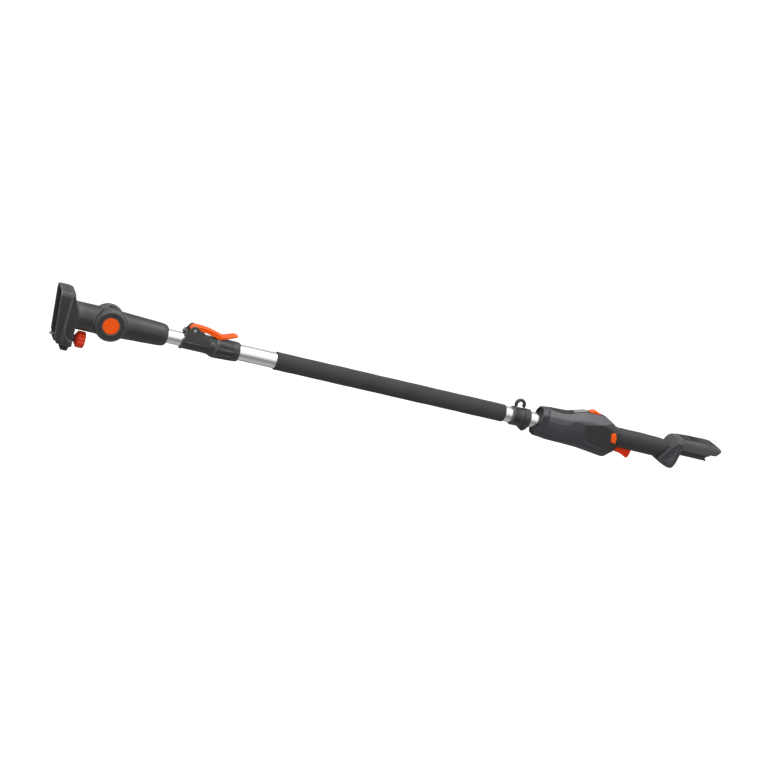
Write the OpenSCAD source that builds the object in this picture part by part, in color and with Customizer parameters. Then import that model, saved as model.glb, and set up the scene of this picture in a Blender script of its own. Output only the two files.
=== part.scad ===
// Telescoping pole saw shaft: a powered rear handle with a battery dock, a two-stage
// aluminium pole with a cam clamp, and an angle-adjustable tool socket at the front.
// X runs along the pole from the socket's mouth (0) to the dock, Y to the right, Z up.

/* [Pole] */
// Outside diameter of the outer tube
outer_d = 32; // [30:0.5:34]
// Outside diameter of the sliding inner tube
inner_d = 28; // [26:0.5:28]
// Wall of both tubes
tube_wall = 1.6; // [1.2:0.1:1.6]
// Where the inner tube starts inside the boot
inner_x = 165; // [160:1:175]
// Length of the inner tube
inner_len = 795; // [650:5:800]
// Diameter of the foam hand sleeve
foam_d = 37.2; // [36:0.2:42]
// Length of the foam hand sleeve
foam_len = 500; // [300:5:505]

/* [Tool socket] */
// Half width of the socket frame
frame_hw = 37; // [34:0.5:40]
// Top of the socket frame above the pole axis
frame_top = 50; // [46:1:56]
// Bottom of the socket frame below the pole axis
frame_low = 58; // [56:1:64]
// Forward lean of the socket's open face in degrees
face_lean = 4.4; // [0:0.2:6]
// Height of the thumb screw below the pole axis
thumb_z = 46; // [45:0.5:47]

/* [Elbow] */
// Distance from the socket's mouth to the tilt axle
axle_x = 106; // [104:0.5:110]
// Radius of the round fork cheeks
fork_r = 31.8; // [30.5:0.1:33]
// Radius of the release button
button_r = 16.6; // [14:0.1:17]

/* [Power unit] */
// Half width of the lock-off button pocket clearance, as a growth factor
pocket_grow = 1.07; // [1.04:0.01:1.1]
// Half width of the grip
grip_r = 17; // [16:0.5:18]
// Half width of the battery dock
dock_hw = 28.5; // [27:0.5:30]

/* [Hidden] */
$fn = 64;
run = 0.05;          // radial running clearance
outer_r = outer_d / 2;
inner_r = inner_d / 2;
bore_r = outer_r - tube_wall;
foam_x = 446;
outer_x0 = 312;
outer_x1 = 1078;
inner_x1 = inner_x + inner_len;
near_in = -6;        // inner faces of the fork's cheeks
far_in = 16;
cheek_y = 32;        // outer faces of the fork's cheeks
slack = 0.4;         // side gap of the tongue in the fork
neck_r = 27.2;
shank_r = 23.2;
pivot_x = 270.3;     // cam lever pivot
pivot_z = 25.4;
trigger_x = 1212;    // trigger pivot
trigger_z = -6;
rocker_x = 1141;     // rocker pivot
rocker_z = 43.5;
rocker_pin_r = 0.9;
grip_z = 4.5;        // height of the grip's middle
grip_rise = 4;       // half the straight part of its stadium section
core_r = grip_r - 2.5;

// Sections of the power unit: [x, bottom, top, half width, bottom chamfer, top chamfer]
STATIONS = [
  [1008, -28.2, 29.5, 22, 8, 10],
  [1045, -31, 33, 25, 9, 12],
  [1084, -31.5, 34, 26.5, 9, 12],
  [1118, -33, 44.5, 27, 10, 16],
  [1160, -38, 44.5, 28, 12, 16],
  [1184, -41, 34, 27, 14, 14],
  [1204, -31, 27, 20, 12, 12]
];
PANEL = [
  [1037.5, 10.6], [1065, 9.6], [1080.7, 10.6], [1089, 17], [1097.5, 23.4], [1106.5, 23.4],
  [1120.4, 20.2], [1144.7, 25.6], [1179.4, 33.1], [1182, 60], [1037.5, 60]
];
INSERT = [
  [1121.1, 15.4], [1120.4, 20.2], [1144.7, 25.6], [1179.4, 33.1], [1189.3, 26.1],
  [1193, 17.5], [1194, -6.1], [1187.6, -24.3], [1131.8, -12.4], [1126.8, -8.1]
];
LOCK = [[1180, 15], [1190, 17.5], [1195, 9], [1196, -5], [1185.5, -3]];
LOCK_MID = [1189, 6.5];

// ---- helpers ----
// Cylinder along X
module xcyl(x0, x1, r, y = 0, z = 0) {
  translate([x0, y, z]) rotate([0, 90, 0]) cylinder(h = x1 - x0, r = r);
}
// Cylinder along Y
module ycyl(x, z, y0, y1, r) {
  translate([x, y1, z]) rotate([90, 0, 0]) cylinder(h = y1 - y0, r = r);
}
// Outline in X and Z, extruded along Y
module side_prism(points, y0, y1) {
  translate([0, y1, 0]) rotate([90, 0, 0]) linear_extrude(y1 - y0) polygon(points);
}
// 2D children in Y and Z, extruded along X
module cross(x0, x1) {
  translate([x0, 0, 0]) rotate([90, 0, 90]) linear_extrude(x1 - x0) children();
}
// Outline of radius against x, turned about the pole axis
module turned(points) {
  rotate([0, 90, 0]) rotate([0, 0, 180]) rotate_extrude($fn = 96)
    polygon([for (p = points) [p[1], p[0]]]);
}
module box(x0, x1, y0, y1, z0, z1) {
  translate([x0, y0, z0]) cube([x1 - x0, y1 - y0, z1 - z0]);
}
// Rectangle with round corners
module round_rect(u0, u1, v0, v1, r) {
  translate([u0 + r, v0]) square([u1 - u0 - 2 * r, v1 - v0]);
  translate([u0, v0 + r]) square([u1 - u0, v1 - v0 - 2 * r]);
  for (u = [u0 + r, u1 - r], v = [v0 + r, v1 - r]) translate([u, v]) circle(r);
}
// Upright section with round top and bottom
module stadium(r, mid, rise) {
  translate([-r, mid - rise]) square([2 * r, 2 * rise]);
  for (s = [-1, 1]) translate([0, mid + s * rise]) circle(r);
}
// Helical wire along +Z
module coil(r, wire, len, turns, sides = 8, steps = 16) {
  rings = turns * steps;
  points = [for (i = [0 : rings]) let (a = 360 * i / steps, h = len * i / rings)
    for (j = [0 : sides - 1]) let (b = 360 * j / sides)
      [(r + wire * cos(b)) * cos(a), (r + wire * cos(b)) * sin(a), h + wire * sin(b)]];
  skin = [for (i = [0 : rings - 1], j = [0 : sides - 1]) let (k = (j + 1) % sides)
    [i * sides + j, i * sides + k, (i + 1) * sides + k, (i + 1) * sides + j]];
  polyhedron(points, concat(skin, [[for (j = [sides - 1 : -1 : 0]) j],
    [for (j = [0 : sides - 1]) rings * sides + j]]), convexity = 10);
}
function section(s, d = 0) = let (zb = s[1] + d, zt = s[2] - d, w = s[3] - d,
  cb = s[4] - d / 2, ct = s[5] - d / 2)
  [[-w, zb + cb], [-w + cb, zb], [w - cb, zb], [w, zb + cb],
   [w, zt - ct], [w - ct, zt], [-w + ct, zt], [-w, zt - ct]];
module station(i, d = 0) {
  translate([STATIONS[i][0], 0, 0]) cross(0, 0.01) polygon(section(STATIONS[i], d));
}
// The power unit's outer form
module unit_form() {
  hull() { station(0); station(1); station(2); }
  hull() { station(2); station(3); }
  hull() { station(3); station(4); station(5); }
  hull() { station(5); station(6); }
}
// The same form 2 mm inside, under the side trims
module unit_under() {
  hull() { station(0, 2); station(1, 2); station(2, 2); }
  hull() { station(2, 2); station(3, 2); }
  hull() { station(3, 2); station(4, 2); station(5, 2); station(6, 2); }
}
// Everything ahead of the unit's slanted mouth
module mouth_cut(back = 0) {
  translate([1020 + back, 0, 0]) rotate([0, 10.2, 0]) box(-80, 0, -60, 60, -80, 80);
}

// ---- tool socket ----
module head_frame() {
  color("#424242") difference() {
    cross(-8, 21) round_rect(-frame_hw, frame_hw, -frame_low, frame_top, 14);
    rotate([0, -face_lean, 0]) box(-40, 0, -60, 60, -90, 90);
    difference() {
      cross(-10, 17.5) round_rect(4.5 - frame_hw, frame_hw - 4.5, 4.5 - frame_low, frame_top - 4.5, 10);
      xcyl(5, 18, 7, z = -thumb_z);
      box(5, 18, -7, 7, -frame_low, -thumb_z);
    }
    xcyl(0, 30, 3 + run, z = -thumb_z);
    box(17, 22, -14, 14, -8, 20);
    for (y = [-26, 26], z = [-34, 30]) xcyl(17, 22, 1.7, y, z);
  }
}
module socket_foot() {
  color("#2b2b2b") side_prism([[19, -59.2], [26, -72.4], [38.5, -72.4], [42, -62], [42, -59.2]], -10, 10);
}
module contact_block() {
  color("#2a2a2a") difference() {
    box(11, 21, -13.8, 13.8, -7.8, 19.8);
    for (y = [-9, -3, 3, 9]) box(10, 22, y - 0.8, y + 0.8, -1, 13);
  }
}
module contact_pins() {
  color("#b8a050") for (y = [-9, -3, 3, 9]) box(8.4, 23, y - 0.8, y + 0.8, -1, 13);
}
module head_back() {
  color("#454545") difference() {
    intersection() {
      cross(21, 42) round_rect(-33, 33, -59, 45, 12);
      side_prism([[21, -59], [41.5, -59], [39.5, -44], [39, -30], [39, 12], [35, 19], [32, 25],
        [23.5, 45], [21, 45]], -40, 40);
    }
    cross(23, 35) round_rect(-29, 29, -55, 15, 9);
    box(20, 24, -14, 14, -8, 14);
    xcyl(20, 50, 3 + run, z = -thumb_z);
    xcyl(30, 50, 9, z = 0);
    for (y = [-26, 26], z = [-34, 30]) xcyl(20, 34, 1.7, y, z);
  }
}
module head_screws() {
  color("silver") for (y = [-26, 26], z = [-34, 30]) {
    xcyl(14.5, 17.5, 3.2, y, z);
    xcyl(17.5, 23.4, 1.7, y, z);
  }
}
module front_neck() {
  color("#454545") difference() {
    turned([[39, 9], [39, 26], [46, 26], [46.6, neck_r], [92, neck_r], [92, shank_r],
      [50, shank_r], [50, 9]]);
    ycyl(axle_x, 0, -40, 40, fork_r + 0.5);
  }
}
module thumb_washer() {
  color("#1c1c1c") difference() {
    xcyl(42, 48.8, 7, z = -thumb_z);
    xcyl(41, 50, 3 + run, z = -thumb_z);
  }
}
module thumb_bolt() {
  color("silver") {
    xcyl(-0.5, 4.5, 2.5, z = -thumb_z);
    xcyl(4.5, 60, 3, z = -thumb_z);
  }
}
module thumb_knob() {
  flutes = 10;
  color("#d22d0f") difference() {
    union() {
      xcyl(49.2, 52, 11, z = -thumb_z);
      xcyl(52, 67, 16.4, z = -thumb_z);
      xcyl(67, 68.5, 14, z = -thumb_z);
    }
    for (i = [0 : flutes - 1]) translate([0, 0, -thumb_z]) rotate([360 * (i + 0.5) / flutes, 0, 0])
      xcyl(51.9, 67.1, 2.6, z = 17.6);
    xcyl(48, 60, 3, z = -thumb_z);
  }
}

// ---- elbow ----
module knuckle_fork() {
  color("#404040") difference() {
    union() {
      xcyl(50, 95, shank_r);
      ycyl(axle_x, 0, -cheek_y, near_in, fork_r);
      ycyl(axle_x, 0, far_in, cheek_y, fork_r);
      box(76, axle_x, -16, 16, -16.5, 16.5);
    }
    ycyl(axle_x, 0, near_in, far_in, fork_r - 0.4);
    box(axle_x - 10, axle_x + 40, near_in, far_in, -40, 40);
    ycyl(axle_x, 0, -15, near_in, 21.5);
    ycyl(axle_x, 0, -cheek_y - 1, -20.5, button_r + 0.4);
    ycyl(axle_x, 0, -21, -14, 8.1);
    ycyl(axle_x, 0, far_in - 1, cheek_y, 6);
    ycyl(axle_x, 0, 25, cheek_y + 1, 14);
    xcyl(49, axle_x - fork_r + 2, 8);
  }
}
module elbow_axle() {
  color("silver") {
    ycyl(axle_x, 0, -19.5, 25, 6 - run);
    ycyl(axle_x, 0, 25, 28, 9.5);
  }
}
module far_cap() {
  color("#353535") ycyl(axle_x, 0, 28.6, 31.6, 14);
}
module elbow_button() {
  color("#f04e12") difference() {
    union() {
      ycyl(axle_x, 0, -31.2, -27, button_r);
      ycyl(axle_x, 0, -27, -11.6, 8.1 - run);
    }
    ycyl(axle_x, 0, -25, -11, 6);
  }
}
module lock_plate() {
  color("gray") difference() {
    union() {
      ycyl(axle_x, 0, -14.6, -11.6, 21);
      for (i = [0 : 11]) translate([axle_x, 0, 0]) rotate([0, 30 * i, 0])
        box(14, 20, -12.6, -10.6, -1.2, 1.2);
    }
    ycyl(axle_x, 0, -15, -10, 8.1 - run);
  }
}
module button_spring() {
  color("silver") translate([axle_x, -21.4, 0]) rotate([90, 0, 0]) coil(11, 0.7, 4.8, 3);
}
module detent_ring() {
  color("gray") difference() {
    ycyl(axle_x, 0, -5.3, -2.6, 21);
    ycyl(axle_x, 0, -6, -2, 12);
    for (i = [0 : 23]) translate([axle_x, 0, 0]) rotate([0, 15 * i, 0])
      box(14, 22, -5.4, -4.2, -1.2, 1.2);
  }
}
module boot() {
  y0 = near_in + slack;
  y1 = far_in - slack;
  color("#444444") difference() {
    union() {
      difference() {
        turned([[127, 0], [127, 26.2], [203, 22.9], [211, 22.3], [217, 20.6], [221, 17.6],
          [222, inner_r + 0.6], [222, 0]]);
        ycyl(axle_x, 0, -40, 40, fork_r + 1.6);
      }
      ycyl(axle_x, 0, y0, y1, fork_r - 1.8);
      intersection() {
        box(axle_x, 150, y0, y1, -23, 23);
        xcyl(axle_x, 150, 25);
      }
    }
    ycyl(axle_x, 0, -40, 40, 6);
    ycyl(axle_x, 0, y0 - 1, -2.6, 21);
    xcyl(inner_x, 223, inner_r);
    xcyl(148, 170, 8);
    for (x = [186, 202]) {
      translate([x, 0, -30]) cylinder(h = 20, r = 1.7);
      translate([x, 0, -30]) cylinder(h = 9, r = 3.4);
    }
  }
}
module boot_screws() {
  color("silver") for (x = [186, 202]) {
    translate([x, 0, -23]) cylinder(h = 2, r = 3.4);
    translate([x, 0, -21]) cylinder(h = 9.5, r = 1.7);
  }
}

// ---- pole ----
module inner_tube() {
  color("silver") difference() {
    xcyl(inner_x, inner_x1, inner_r);
    xcyl(inner_x - 1, inner_x1 + 1, inner_r - tube_wall);
    for (x = [186, 202]) translate([x, 0, -20]) cylinder(h = 12, r = 1.7);
  }
}
module guide_bush() {
  color("#dddddd") difference() {
    xcyl(inner_x1 - 16, inner_x1 + 3, bore_r - run);
    xcyl(inner_x1 - 17, inner_x1, inner_r);
    xcyl(inner_x1 - 1, inner_x1 + 4, 6);
  }
}
module coiled_lead() {
  color("#202020") translate([inner_x1 + 8, 0, 0]) rotate([0, 90, 0]) coil(10.5, 2, 70, 13, 8, 12);
}
module outer_tube() {
  color("silver") difference() {
    xcyl(outer_x0, outer_x1, outer_r);
    xcyl(outer_x0 - 1, outer_x1 + 1, bore_r);
  }
}
module foam_sleeve() {
  end = foam_x + foam_len;
  color("#3c3c3c") turned([[foam_x, outer_r], [foam_x, foam_d / 2 - 0.6],
    [foam_x + 0.6, foam_d / 2], [end - 1.5, foam_d / 2], [end, foam_d / 2 - 1.2], [end, outer_r]]);
}

// ---- cam clamp ----
EAR = [
  [254.7, -2], [254.7, 11.4], [256.3, 19.4], [260, 26], [264.5, 31.4], [270, 33.4], [276, 32.3],
  [281, 29], [292, 21.4], [304.4, 13.4], [314, 8], [314, -2]
];
module clamp_body() {
  color("#404040") difference() {
    union() {
      turned([[251, 12], [251, 17.2], [308, 17.2], [318, 21.9], [318, 12]]);
      for (s = [-1, 1]) side_prism(EAR, s > 0 ? 13 : -18, s > 0 ? 18 : -13);
    }
    xcyl(250, 313, inner_r + run);
    xcyl(outer_x0, 319, outer_r);
    box(308, 319, -14, 14, 17.3, 30);
    box(261.6, 283.4, -8.2, 8.2, 0, 30);
    box(250, 300, -1, 1, -20, -5);
    box(254, 256.6, -13, 13, 12, 30);
    box(250, 260, -4.2, 4.2, 15, 30);
    ycyl(pivot_x, pivot_z, -20, 20, 2.5);
  }
}
module clamp_band() {
  color("#9a9a9c") difference() {
    box(254, 256.5, -12.9, 12.9, 12.1, 22.5);
    xcyl(250, 260, inner_r + 0.4);
    xcyl(250, 260, 2.1, z = 18.8);
  }
}
module clamp_bolt() {
  color("#808080") {
    translate([249.6, 0, 18.8]) rotate([0, 90, 0]) cylinder(h = 4.4, r = 3.6, $fn = 6);
    xcyl(254, 259.6, 2.1, z = 18.8);
    difference() {
      xcyl(256.5, 259, 3.4, z = 18.8);
      xcyl(256, 260, 2.1, z = 18.8);
    }
  }
}
module clamp_shoe() {
  color("#303030") difference() {
    box(262, 283, -8, 8, 9, 17.2);
    xcyl(260, 285, inner_r + run);
  }
}
module clamp_lever() {
  w = 12.4;
  arch = [
    [266, 31.6], [273, 35.5], [291, 35.5], [310, 33.2], [320, 30.5], [326, 26.6], [331, 26],
    [352, 34], [359, 31], [339, 22.5], [323, 17.8], [300, 23.4], [284, 25.8], [270, 22]
  ];
  color("#f04e12") difference() {
    union() {
      ycyl(pivot_x + 0.2, pivot_z, -w, w, 7.6);
      side_prism(arch, -w, w);
    }
    ycyl(pivot_x, pivot_z, -20, 20, 2.5 + run);
    side_prism([[284, 20], [284, 28.5], [300, 27], [318, 23], [322, 20], [322, 10]], -9.5, 9.5);
  }
}
module lever_pin() {
  color("silver") {
    ycyl(pivot_x, pivot_z, -18, 18, 2.5);
    for (s = [-1, 1]) ycyl(pivot_x, pivot_z, s > 0 ? 18 : -19, s > 0 ? 19 : -18, 3.2);
  }
}
module clamp_collar() {
  panels = 12;
  color("#404040") difference() {
    turned([[318, outer_r], [318, 21.9], [322, 22.3], [358, 20.6], [366, 19.6], [369, 18.2], [369, outer_r]]);
    box(317, 370, -14, 14, 17.3, 30);
    for (i = [1 : panels - 1]) rotate([360 * i / panels, 0, 0])
      box(327, 354, -3.2, 3.2, 20.4, 24);
  }
}

// ---- strap clamp ----
module strap_liner() {
  color("#555555") difference() {
    union() {
      xcyl(960.8, 963.2, 18.4);
      xcyl(963.2, 1002, 17.2);
    }
    xcyl(960, 1003, outer_r + run);
  }
}
module strap_clamp() {
  color("#353535") difference() {
    union() {
      xcyl(963.6, 991, 20);
      xcyl(991, 1001.8, 20.4);
      ycyl(975.6, 23.6, -3.6, 3.6, 12.4);
      box(984, 1001, -7.5, 7.5, -26.2, -14);
    }
    xcyl(960, 1003, 17.25);
    ycyl(975.6, 26.4, -5, 5, 5.5);
    box(962, 1003, -1.2, 1.2, -28, -15);
    ycyl(992.5, -22.6, -9, 9, 1.7);
    ycyl(992.5, -22.6, -8, -5.4, 3);
  }
}
module strap_screw() {
  color("#202020") {
    ycyl(992.5, -22.6, -7.6, -5.4, 3);
    ycyl(992.5, -22.6, -5.4, 7.5, 1.7);
    difference() {
      ycyl(992.5, -22.6, 7.5, 9.5, 3.2);
      ycyl(992.5, -22.6, 7, 10, 1.7);
    }
  }
}

// ---- power unit ----
module zone() {
  side_prism(PANEL, -40, 40);
  side_prism(INSERT, -40, 40);
}
module lock_hole(grow, y0, y1) {
  side_prism([for (p = LOCK) LOCK_MID + (p - LOCK_MID) * grow], y0, y1);
}
TOP_LINE = [[1046, 33.02], [1084, 34], [1118, 44.5], [1160, 44.5], [1184, 34]];
module cavity() {
  box(1000, 1040, -19, 19, -25.5, 21);
  side_prism([
    [1040, -27], [1118, -28.5], [1160, -33], [1184, -33], [1186, -28], [1186, 18],
    [1160, 25], [1118, 25], [1084, 20], [1040, 20]], -21.5, 21.5);
  side_prism([[1040, 29], [1040, 0], [1170, 0], [1170, 34], [1158, 39.5], [1118, 39.5], [1084, 29.5]],
    -10.5, 10.5);
  box(1180, 1215, -12, 12, -8, 17);
  cross(1200, 1346) stadium(core_r - 2.5, grip_z, grip_rise);
}
HOUSING_SCREWS = [[1092, -12], [1194, -20]];
module housing(side) {
  color("#3a3c41") difference() {
    union() {
      difference() {
        union() {
          difference() {
            unit_form();
            zone();
          }
          intersection() {
            unit_under();
            zone();
          }
          cross(1200, 1345) stadium(core_r, grip_z, grip_rise);
        }
        cavity();
      }
      ycyl(HOUSING_SCREWS[0][0], HOUSING_SCREWS[0][1], -22, 22, 4.5);
    }
    mouth_cut();
    xcyl(1000, 1045, 17);
    box(1046, 1184, -10.7, 10.7, 31, 60);
    lock_hole(pocket_grow, -40, 40);
    box(1204.4, 1249, -7, 7, -30, -1);
    ycyl(trigger_x, trigger_z, -13, 13, 2);
    for (p = HOUSING_SCREWS) {
      ycyl(p[0], p[1], -12, 40, 1.6);
      ycyl(p[0], p[1], 17, 40, 3.4);
    }
    if (side > 0) box(990, 1400, -60, 0, -90, 90);
    else box(990, 1400, 0, 60, -90, 90);
  }
}
module housing_left() { housing(-1); }
module housing_right() { housing(1); }
module trim(outline, side) {
  difference() {
    intersection() {
      unit_form();
      side_prism(outline, side > 0 ? 10.8 : -40, side > 0 ? 40 : -10.8);
    }
    unit_under();
    lock_hole(pocket_grow, -40, 40);
  }
}
module side_panel_left() { color("#68696c") trim(PANEL, -1); }
module side_panel_right() { color("#68696c") trim(PANEL, 1); }
module side_insert_left() { color("#303030") trim(INSERT, -1); }
module side_insert_right() { color("#303030") trim(INSERT, 1); }
module pad_zone() {
  side_prism([[1095, 36.3], [1095, 38.1], [1118, 45.4], [1123, 45.2], [1123, 43.4], [1118, 43.5]], -8, 8);
}
module top_cover() {
  color("#333438") difference() {
    side_prism(concat(TOP_LINE, [[1184, 31.5], [1160, 42.1], [1118, 42.1], [1084, 31.6], [1046, 31.3]]),
      -10.5, 10.5);
    pad_zone();
    box(1127, 1155, -8.6, 8.6, 30, 60);
    ycyl(rocker_x, rocker_z, -11, 11, rocker_pin_r);
  }
}
module top_pad() {
  color("#77787b") pad_zone();
}
module power_rocker() {
  color("#f04e12") difference() {
    union() {
      side_prism([[1129, 44.4], [1130, 46.6], [1137, 49.6], [1141, 50.2], [1152, 46.2], [1153, 44.4],
        [1146, 40.6], [1136, 40.6]], -8, 8);
      ycyl(rocker_x, rocker_z, -8, 8, 3.4);
    }
    ycyl(rocker_x, rocker_z, -9, 9, rocker_pin_r + run);
  }
}
module lock_off(side) {
  color("#ff6a28") lock_hole(1, side > 0 ? 17 : -26.8, side > 0 ? 26.8 : -17);
}
module lock_off_left() { lock_off(-1); }
module lock_off_right() { lock_off(1); }
module trigger() {
  color("#d22d0f") difference() {
    union() {
      side_prism([[1207, -7], [1212, -2], [1216, -3], [1243, -9], [1245, -16], [1241, -33.5],
        [1235, -32.8], [1226, -28.6], [1218, -26.3], [1207, -25.2]], -6.5, 6.5);
      ycyl(trigger_x, trigger_z, -6.5, 6.5, 4.6);
    }
    ycyl(trigger_x, trigger_z, -8, 8, 2 + run);
  }
}
module pivot_pins() {
  color("silver") {
    ycyl(trigger_x, trigger_z, -12.4, 12.4, 2);
    ycyl(rocker_x, rocker_z, -10.3, 10.3, rocker_pin_r);
  }
}
module trigger_spring() {
  color("silver") translate([1236, 0, -6.4]) coil(3.2, 0.5, 21, 6);
}
module switch_module() {
  color("#222222") {
    box(1150, 1178, -10, 10, -16, 8);
    box(1178, 1186, -4, 4, -10, -4);
  }
}
module circuit_board() {
  color("darkgreen") {
    box(1094, 1146, -18, 18, -25, -23.4);
    box(1100, 1112, -10, 2, -23.4, -14);
    for (x = [1120, 1132]) translate([x, 6, -23.4]) cylinder(h = 12, r = 4.4);
  }
}
module power_lead() {
  color("#202020") {
    xcyl(1090, 1094, 4);
    box(1090, 1149.8, -1.6, 1.6, -1.6, 1.6);
    box(1186.2, 1349, 4.6, 6.6, 8, 10);
    box(1186.2, 1349, -6.6, -4.6, 8, 10);
    box(1178, 1186.2, -6.6, 6.6, 7, 10);
  }
}
module tube_socket() {
  color("#2c2c2c") difference() {
    union() {
      xcyl(1046, 1086, 20.5);
      box(1050, 1082, -21.4, 21.4, -12, 12);
    }
    xcyl(1040, outer_x1, outer_r);
    xcyl(1070, 1090, 8);
  }
}
module front_plate() {
  color("#6f7073") difference() {
    intersection() {
      cross(1000, 1050) polygon(section([0, -25.4, 20.8, 18.9, 6, 8]));
      difference() {
        box(1000, 1045, -60, 60, -80, 80);
        mouth_cut(5);
        translate([1028.5, 0, 0]) rotate([0, 10.2, 0]) box(0, 80, -60, 60, -80, 80);
      }
    }
    xcyl(1000, 1060, outer_r);
  }
}
module housing_screws() {
  color("#303030") for (p = HOUSING_SCREWS) {
    ycyl(p[0], p[1], 17, 19, 3.4);
    ycyl(p[0], p[1], -12, 17, 1.6);
  }
}

// ---- grip and dock ----
module grip_sleeve() {
  color("#2e2e2e") difference() {
    cross(1204.6, 1332) stadium(grip_r, grip_z, grip_rise);
    cross(1204, 1333) stadium(core_r, grip_z, grip_rise);
    box(1204, 1249, -7, 7, -30, -1);
    ycyl(trigger_x, trigger_z, -13, 13, 2);
  }
}
GUARD = [
  [1338, 36], [1333, 31], [1307, -12], [1305, -20], [1320, -27.6], [1335, -33], [1344, -32.4],
  [1347, -18], [1348, 2], [1348, 36.2]
];
module rear_guard() {
  color("#3e4044") difference() {
    intersection() {
      side_prism(GUARD, -30, 30);
      cross(1300, 1350) round_rect(-29.5, 29.5, -33, 36.2, 12);
    }
    cross(1300, 1345) stadium(grip_r + 0.02, grip_z, grip_rise);
    box(1344, 1349, -7.4, 7.4, 7, 11);
  }
}
COVER = [
  [1348, 14], [1348, 36], [1381, 38.7], [1411, 39.4], [1426, 38.4], [1434, 34], [1438, 29],
  [1428, 18], [1412, 17], [1412, 14]
];
module dock_cover() {
  color("#5a5b5f") difference() {
    intersection() {
      side_prism(COVER, -dock_hw, dock_hw);
      cross(1340, 1440) polygon([[-28.5, 10], [28.5, 10], [28.5, 34], [23, 40], [-23, 40], [-28.5, 34]]);
    }
    side_prism([[1351, 10], [1351, 32], [1381, 35], [1411, 36], [1422, 34], [1422, 20],
      [1412, 17], [1412, 10]], 3.5 - dock_hw, dock_hw - 3.5);
  }
}
module dock_rails() {
  w = dock_hw - 3.5;
  color("#404145") difference() {
    union() {
      box(1351, 1412, -w, w, 14, 17);
      for (s = [-1, 1]) {
        box(1349, 1412, s > 0 ? 17 : -21, s > 0 ? 21 : -17, 2, 14);
        box(1349, 1412, s > 0 ? 14.5 : -17, s > 0 ? 17 : -14.5, 2, 4.5);
      }
    }
    side_prism([[1407, 8], [1413, 1], [1413, 13]], -30, 30);
  }
}
module terminal_block() {
  color("#2a2a2a") difference() {
    box(1349, 1362, -12, 12, 3, 14);
    for (y = [-8, -2.7, 2.7, 8]) box(1348, 1363, y - 0.7, y + 0.7, 5, 11);
  }
}
module terminal_blades() {
  color("#b8a050") for (y = [-8, -2.7, 2.7, 8]) box(1350, 1378, y - 0.7, y + 0.7, 5, 11);
}

head_frame();
socket_foot();
contact_block();
contact_pins();
head_back();
head_screws();
front_neck();
knuckle_fork();
elbow_axle();
far_cap();
elbow_button();
lock_plate();
button_spring();
thumb_washer();
thumb_bolt();
thumb_knob();
boot();
detent_ring();
boot_screws();
inner_tube();
guide_bush();
coiled_lead();
clamp_body();
clamp_band();
clamp_bolt();
clamp_shoe();
clamp_lever();
lever_pin();
clamp_collar();
outer_tube();
foam_sleeve();
strap_liner();
strap_clamp();
strap_screw();
front_plate();
tube_socket();
housing_left();
housing_right();
side_panel_left();
side_panel_right();
side_insert_left();
side_insert_right();
top_cover();
top_pad();
power_rocker();
lock_off_left();
lock_off_right();
trigger();
pivot_pins();
trigger_spring();
switch_module();
circuit_board();
power_lead();
housing_screws();
grip_sleeve();
rear_guard();
dock_cover();
dock_rails();
terminal_block();
terminal_blades();
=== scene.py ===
"""Telescoping pole saw shaft: tool socket, tilting elbow, sliding pole, cam clamp, power handle and dock."""

from math import asin, cos, pi, radians, sin, sqrt, tan

import bmesh
import bpy
from mathutils import Matrix, Quaternion, Vector


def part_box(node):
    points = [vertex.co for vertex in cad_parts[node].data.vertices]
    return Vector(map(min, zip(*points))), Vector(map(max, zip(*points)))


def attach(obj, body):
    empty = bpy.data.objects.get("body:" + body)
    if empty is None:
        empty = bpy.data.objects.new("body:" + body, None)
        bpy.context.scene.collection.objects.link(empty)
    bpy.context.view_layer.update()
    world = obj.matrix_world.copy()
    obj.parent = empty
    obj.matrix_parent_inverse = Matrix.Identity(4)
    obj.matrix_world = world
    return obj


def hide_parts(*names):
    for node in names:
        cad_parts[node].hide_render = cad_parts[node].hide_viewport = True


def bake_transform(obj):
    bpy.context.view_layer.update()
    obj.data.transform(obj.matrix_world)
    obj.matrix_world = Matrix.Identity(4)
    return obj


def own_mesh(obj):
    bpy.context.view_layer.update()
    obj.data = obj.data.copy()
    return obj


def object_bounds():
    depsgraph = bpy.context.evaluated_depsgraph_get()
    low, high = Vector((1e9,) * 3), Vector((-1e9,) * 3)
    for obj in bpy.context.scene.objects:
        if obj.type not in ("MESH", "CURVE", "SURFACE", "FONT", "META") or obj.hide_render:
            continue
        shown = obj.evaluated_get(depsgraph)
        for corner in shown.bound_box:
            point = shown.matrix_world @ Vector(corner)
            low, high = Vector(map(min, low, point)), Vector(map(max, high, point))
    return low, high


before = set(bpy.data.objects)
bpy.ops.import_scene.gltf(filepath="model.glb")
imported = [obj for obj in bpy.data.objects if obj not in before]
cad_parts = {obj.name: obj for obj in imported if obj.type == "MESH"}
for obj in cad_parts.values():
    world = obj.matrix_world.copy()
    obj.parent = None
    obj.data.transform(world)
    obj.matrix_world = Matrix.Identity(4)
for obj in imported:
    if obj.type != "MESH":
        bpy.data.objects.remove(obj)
cad_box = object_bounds()


# ---- Studio ----
# A pale sheet far under the pole, which only the camera sees, and the light of a large soft box
# overhead, with the dimmer lower half of a room below it. The camera stands left of the pole's middle.
bpy.context.scene.view_settings.view_transform = "Standard"
aim = Vector((0.679, 0.0007, 0.0032))
camera_turn, camera_rise, camera_roll = radians(-18.44), radians(12.35), radians(17.07)
camera_distance = 4.0744
back = Vector((sin(camera_turn) * cos(camera_rise), -cos(camera_turn) * cos(camera_rise), sin(camera_rise)))

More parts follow.
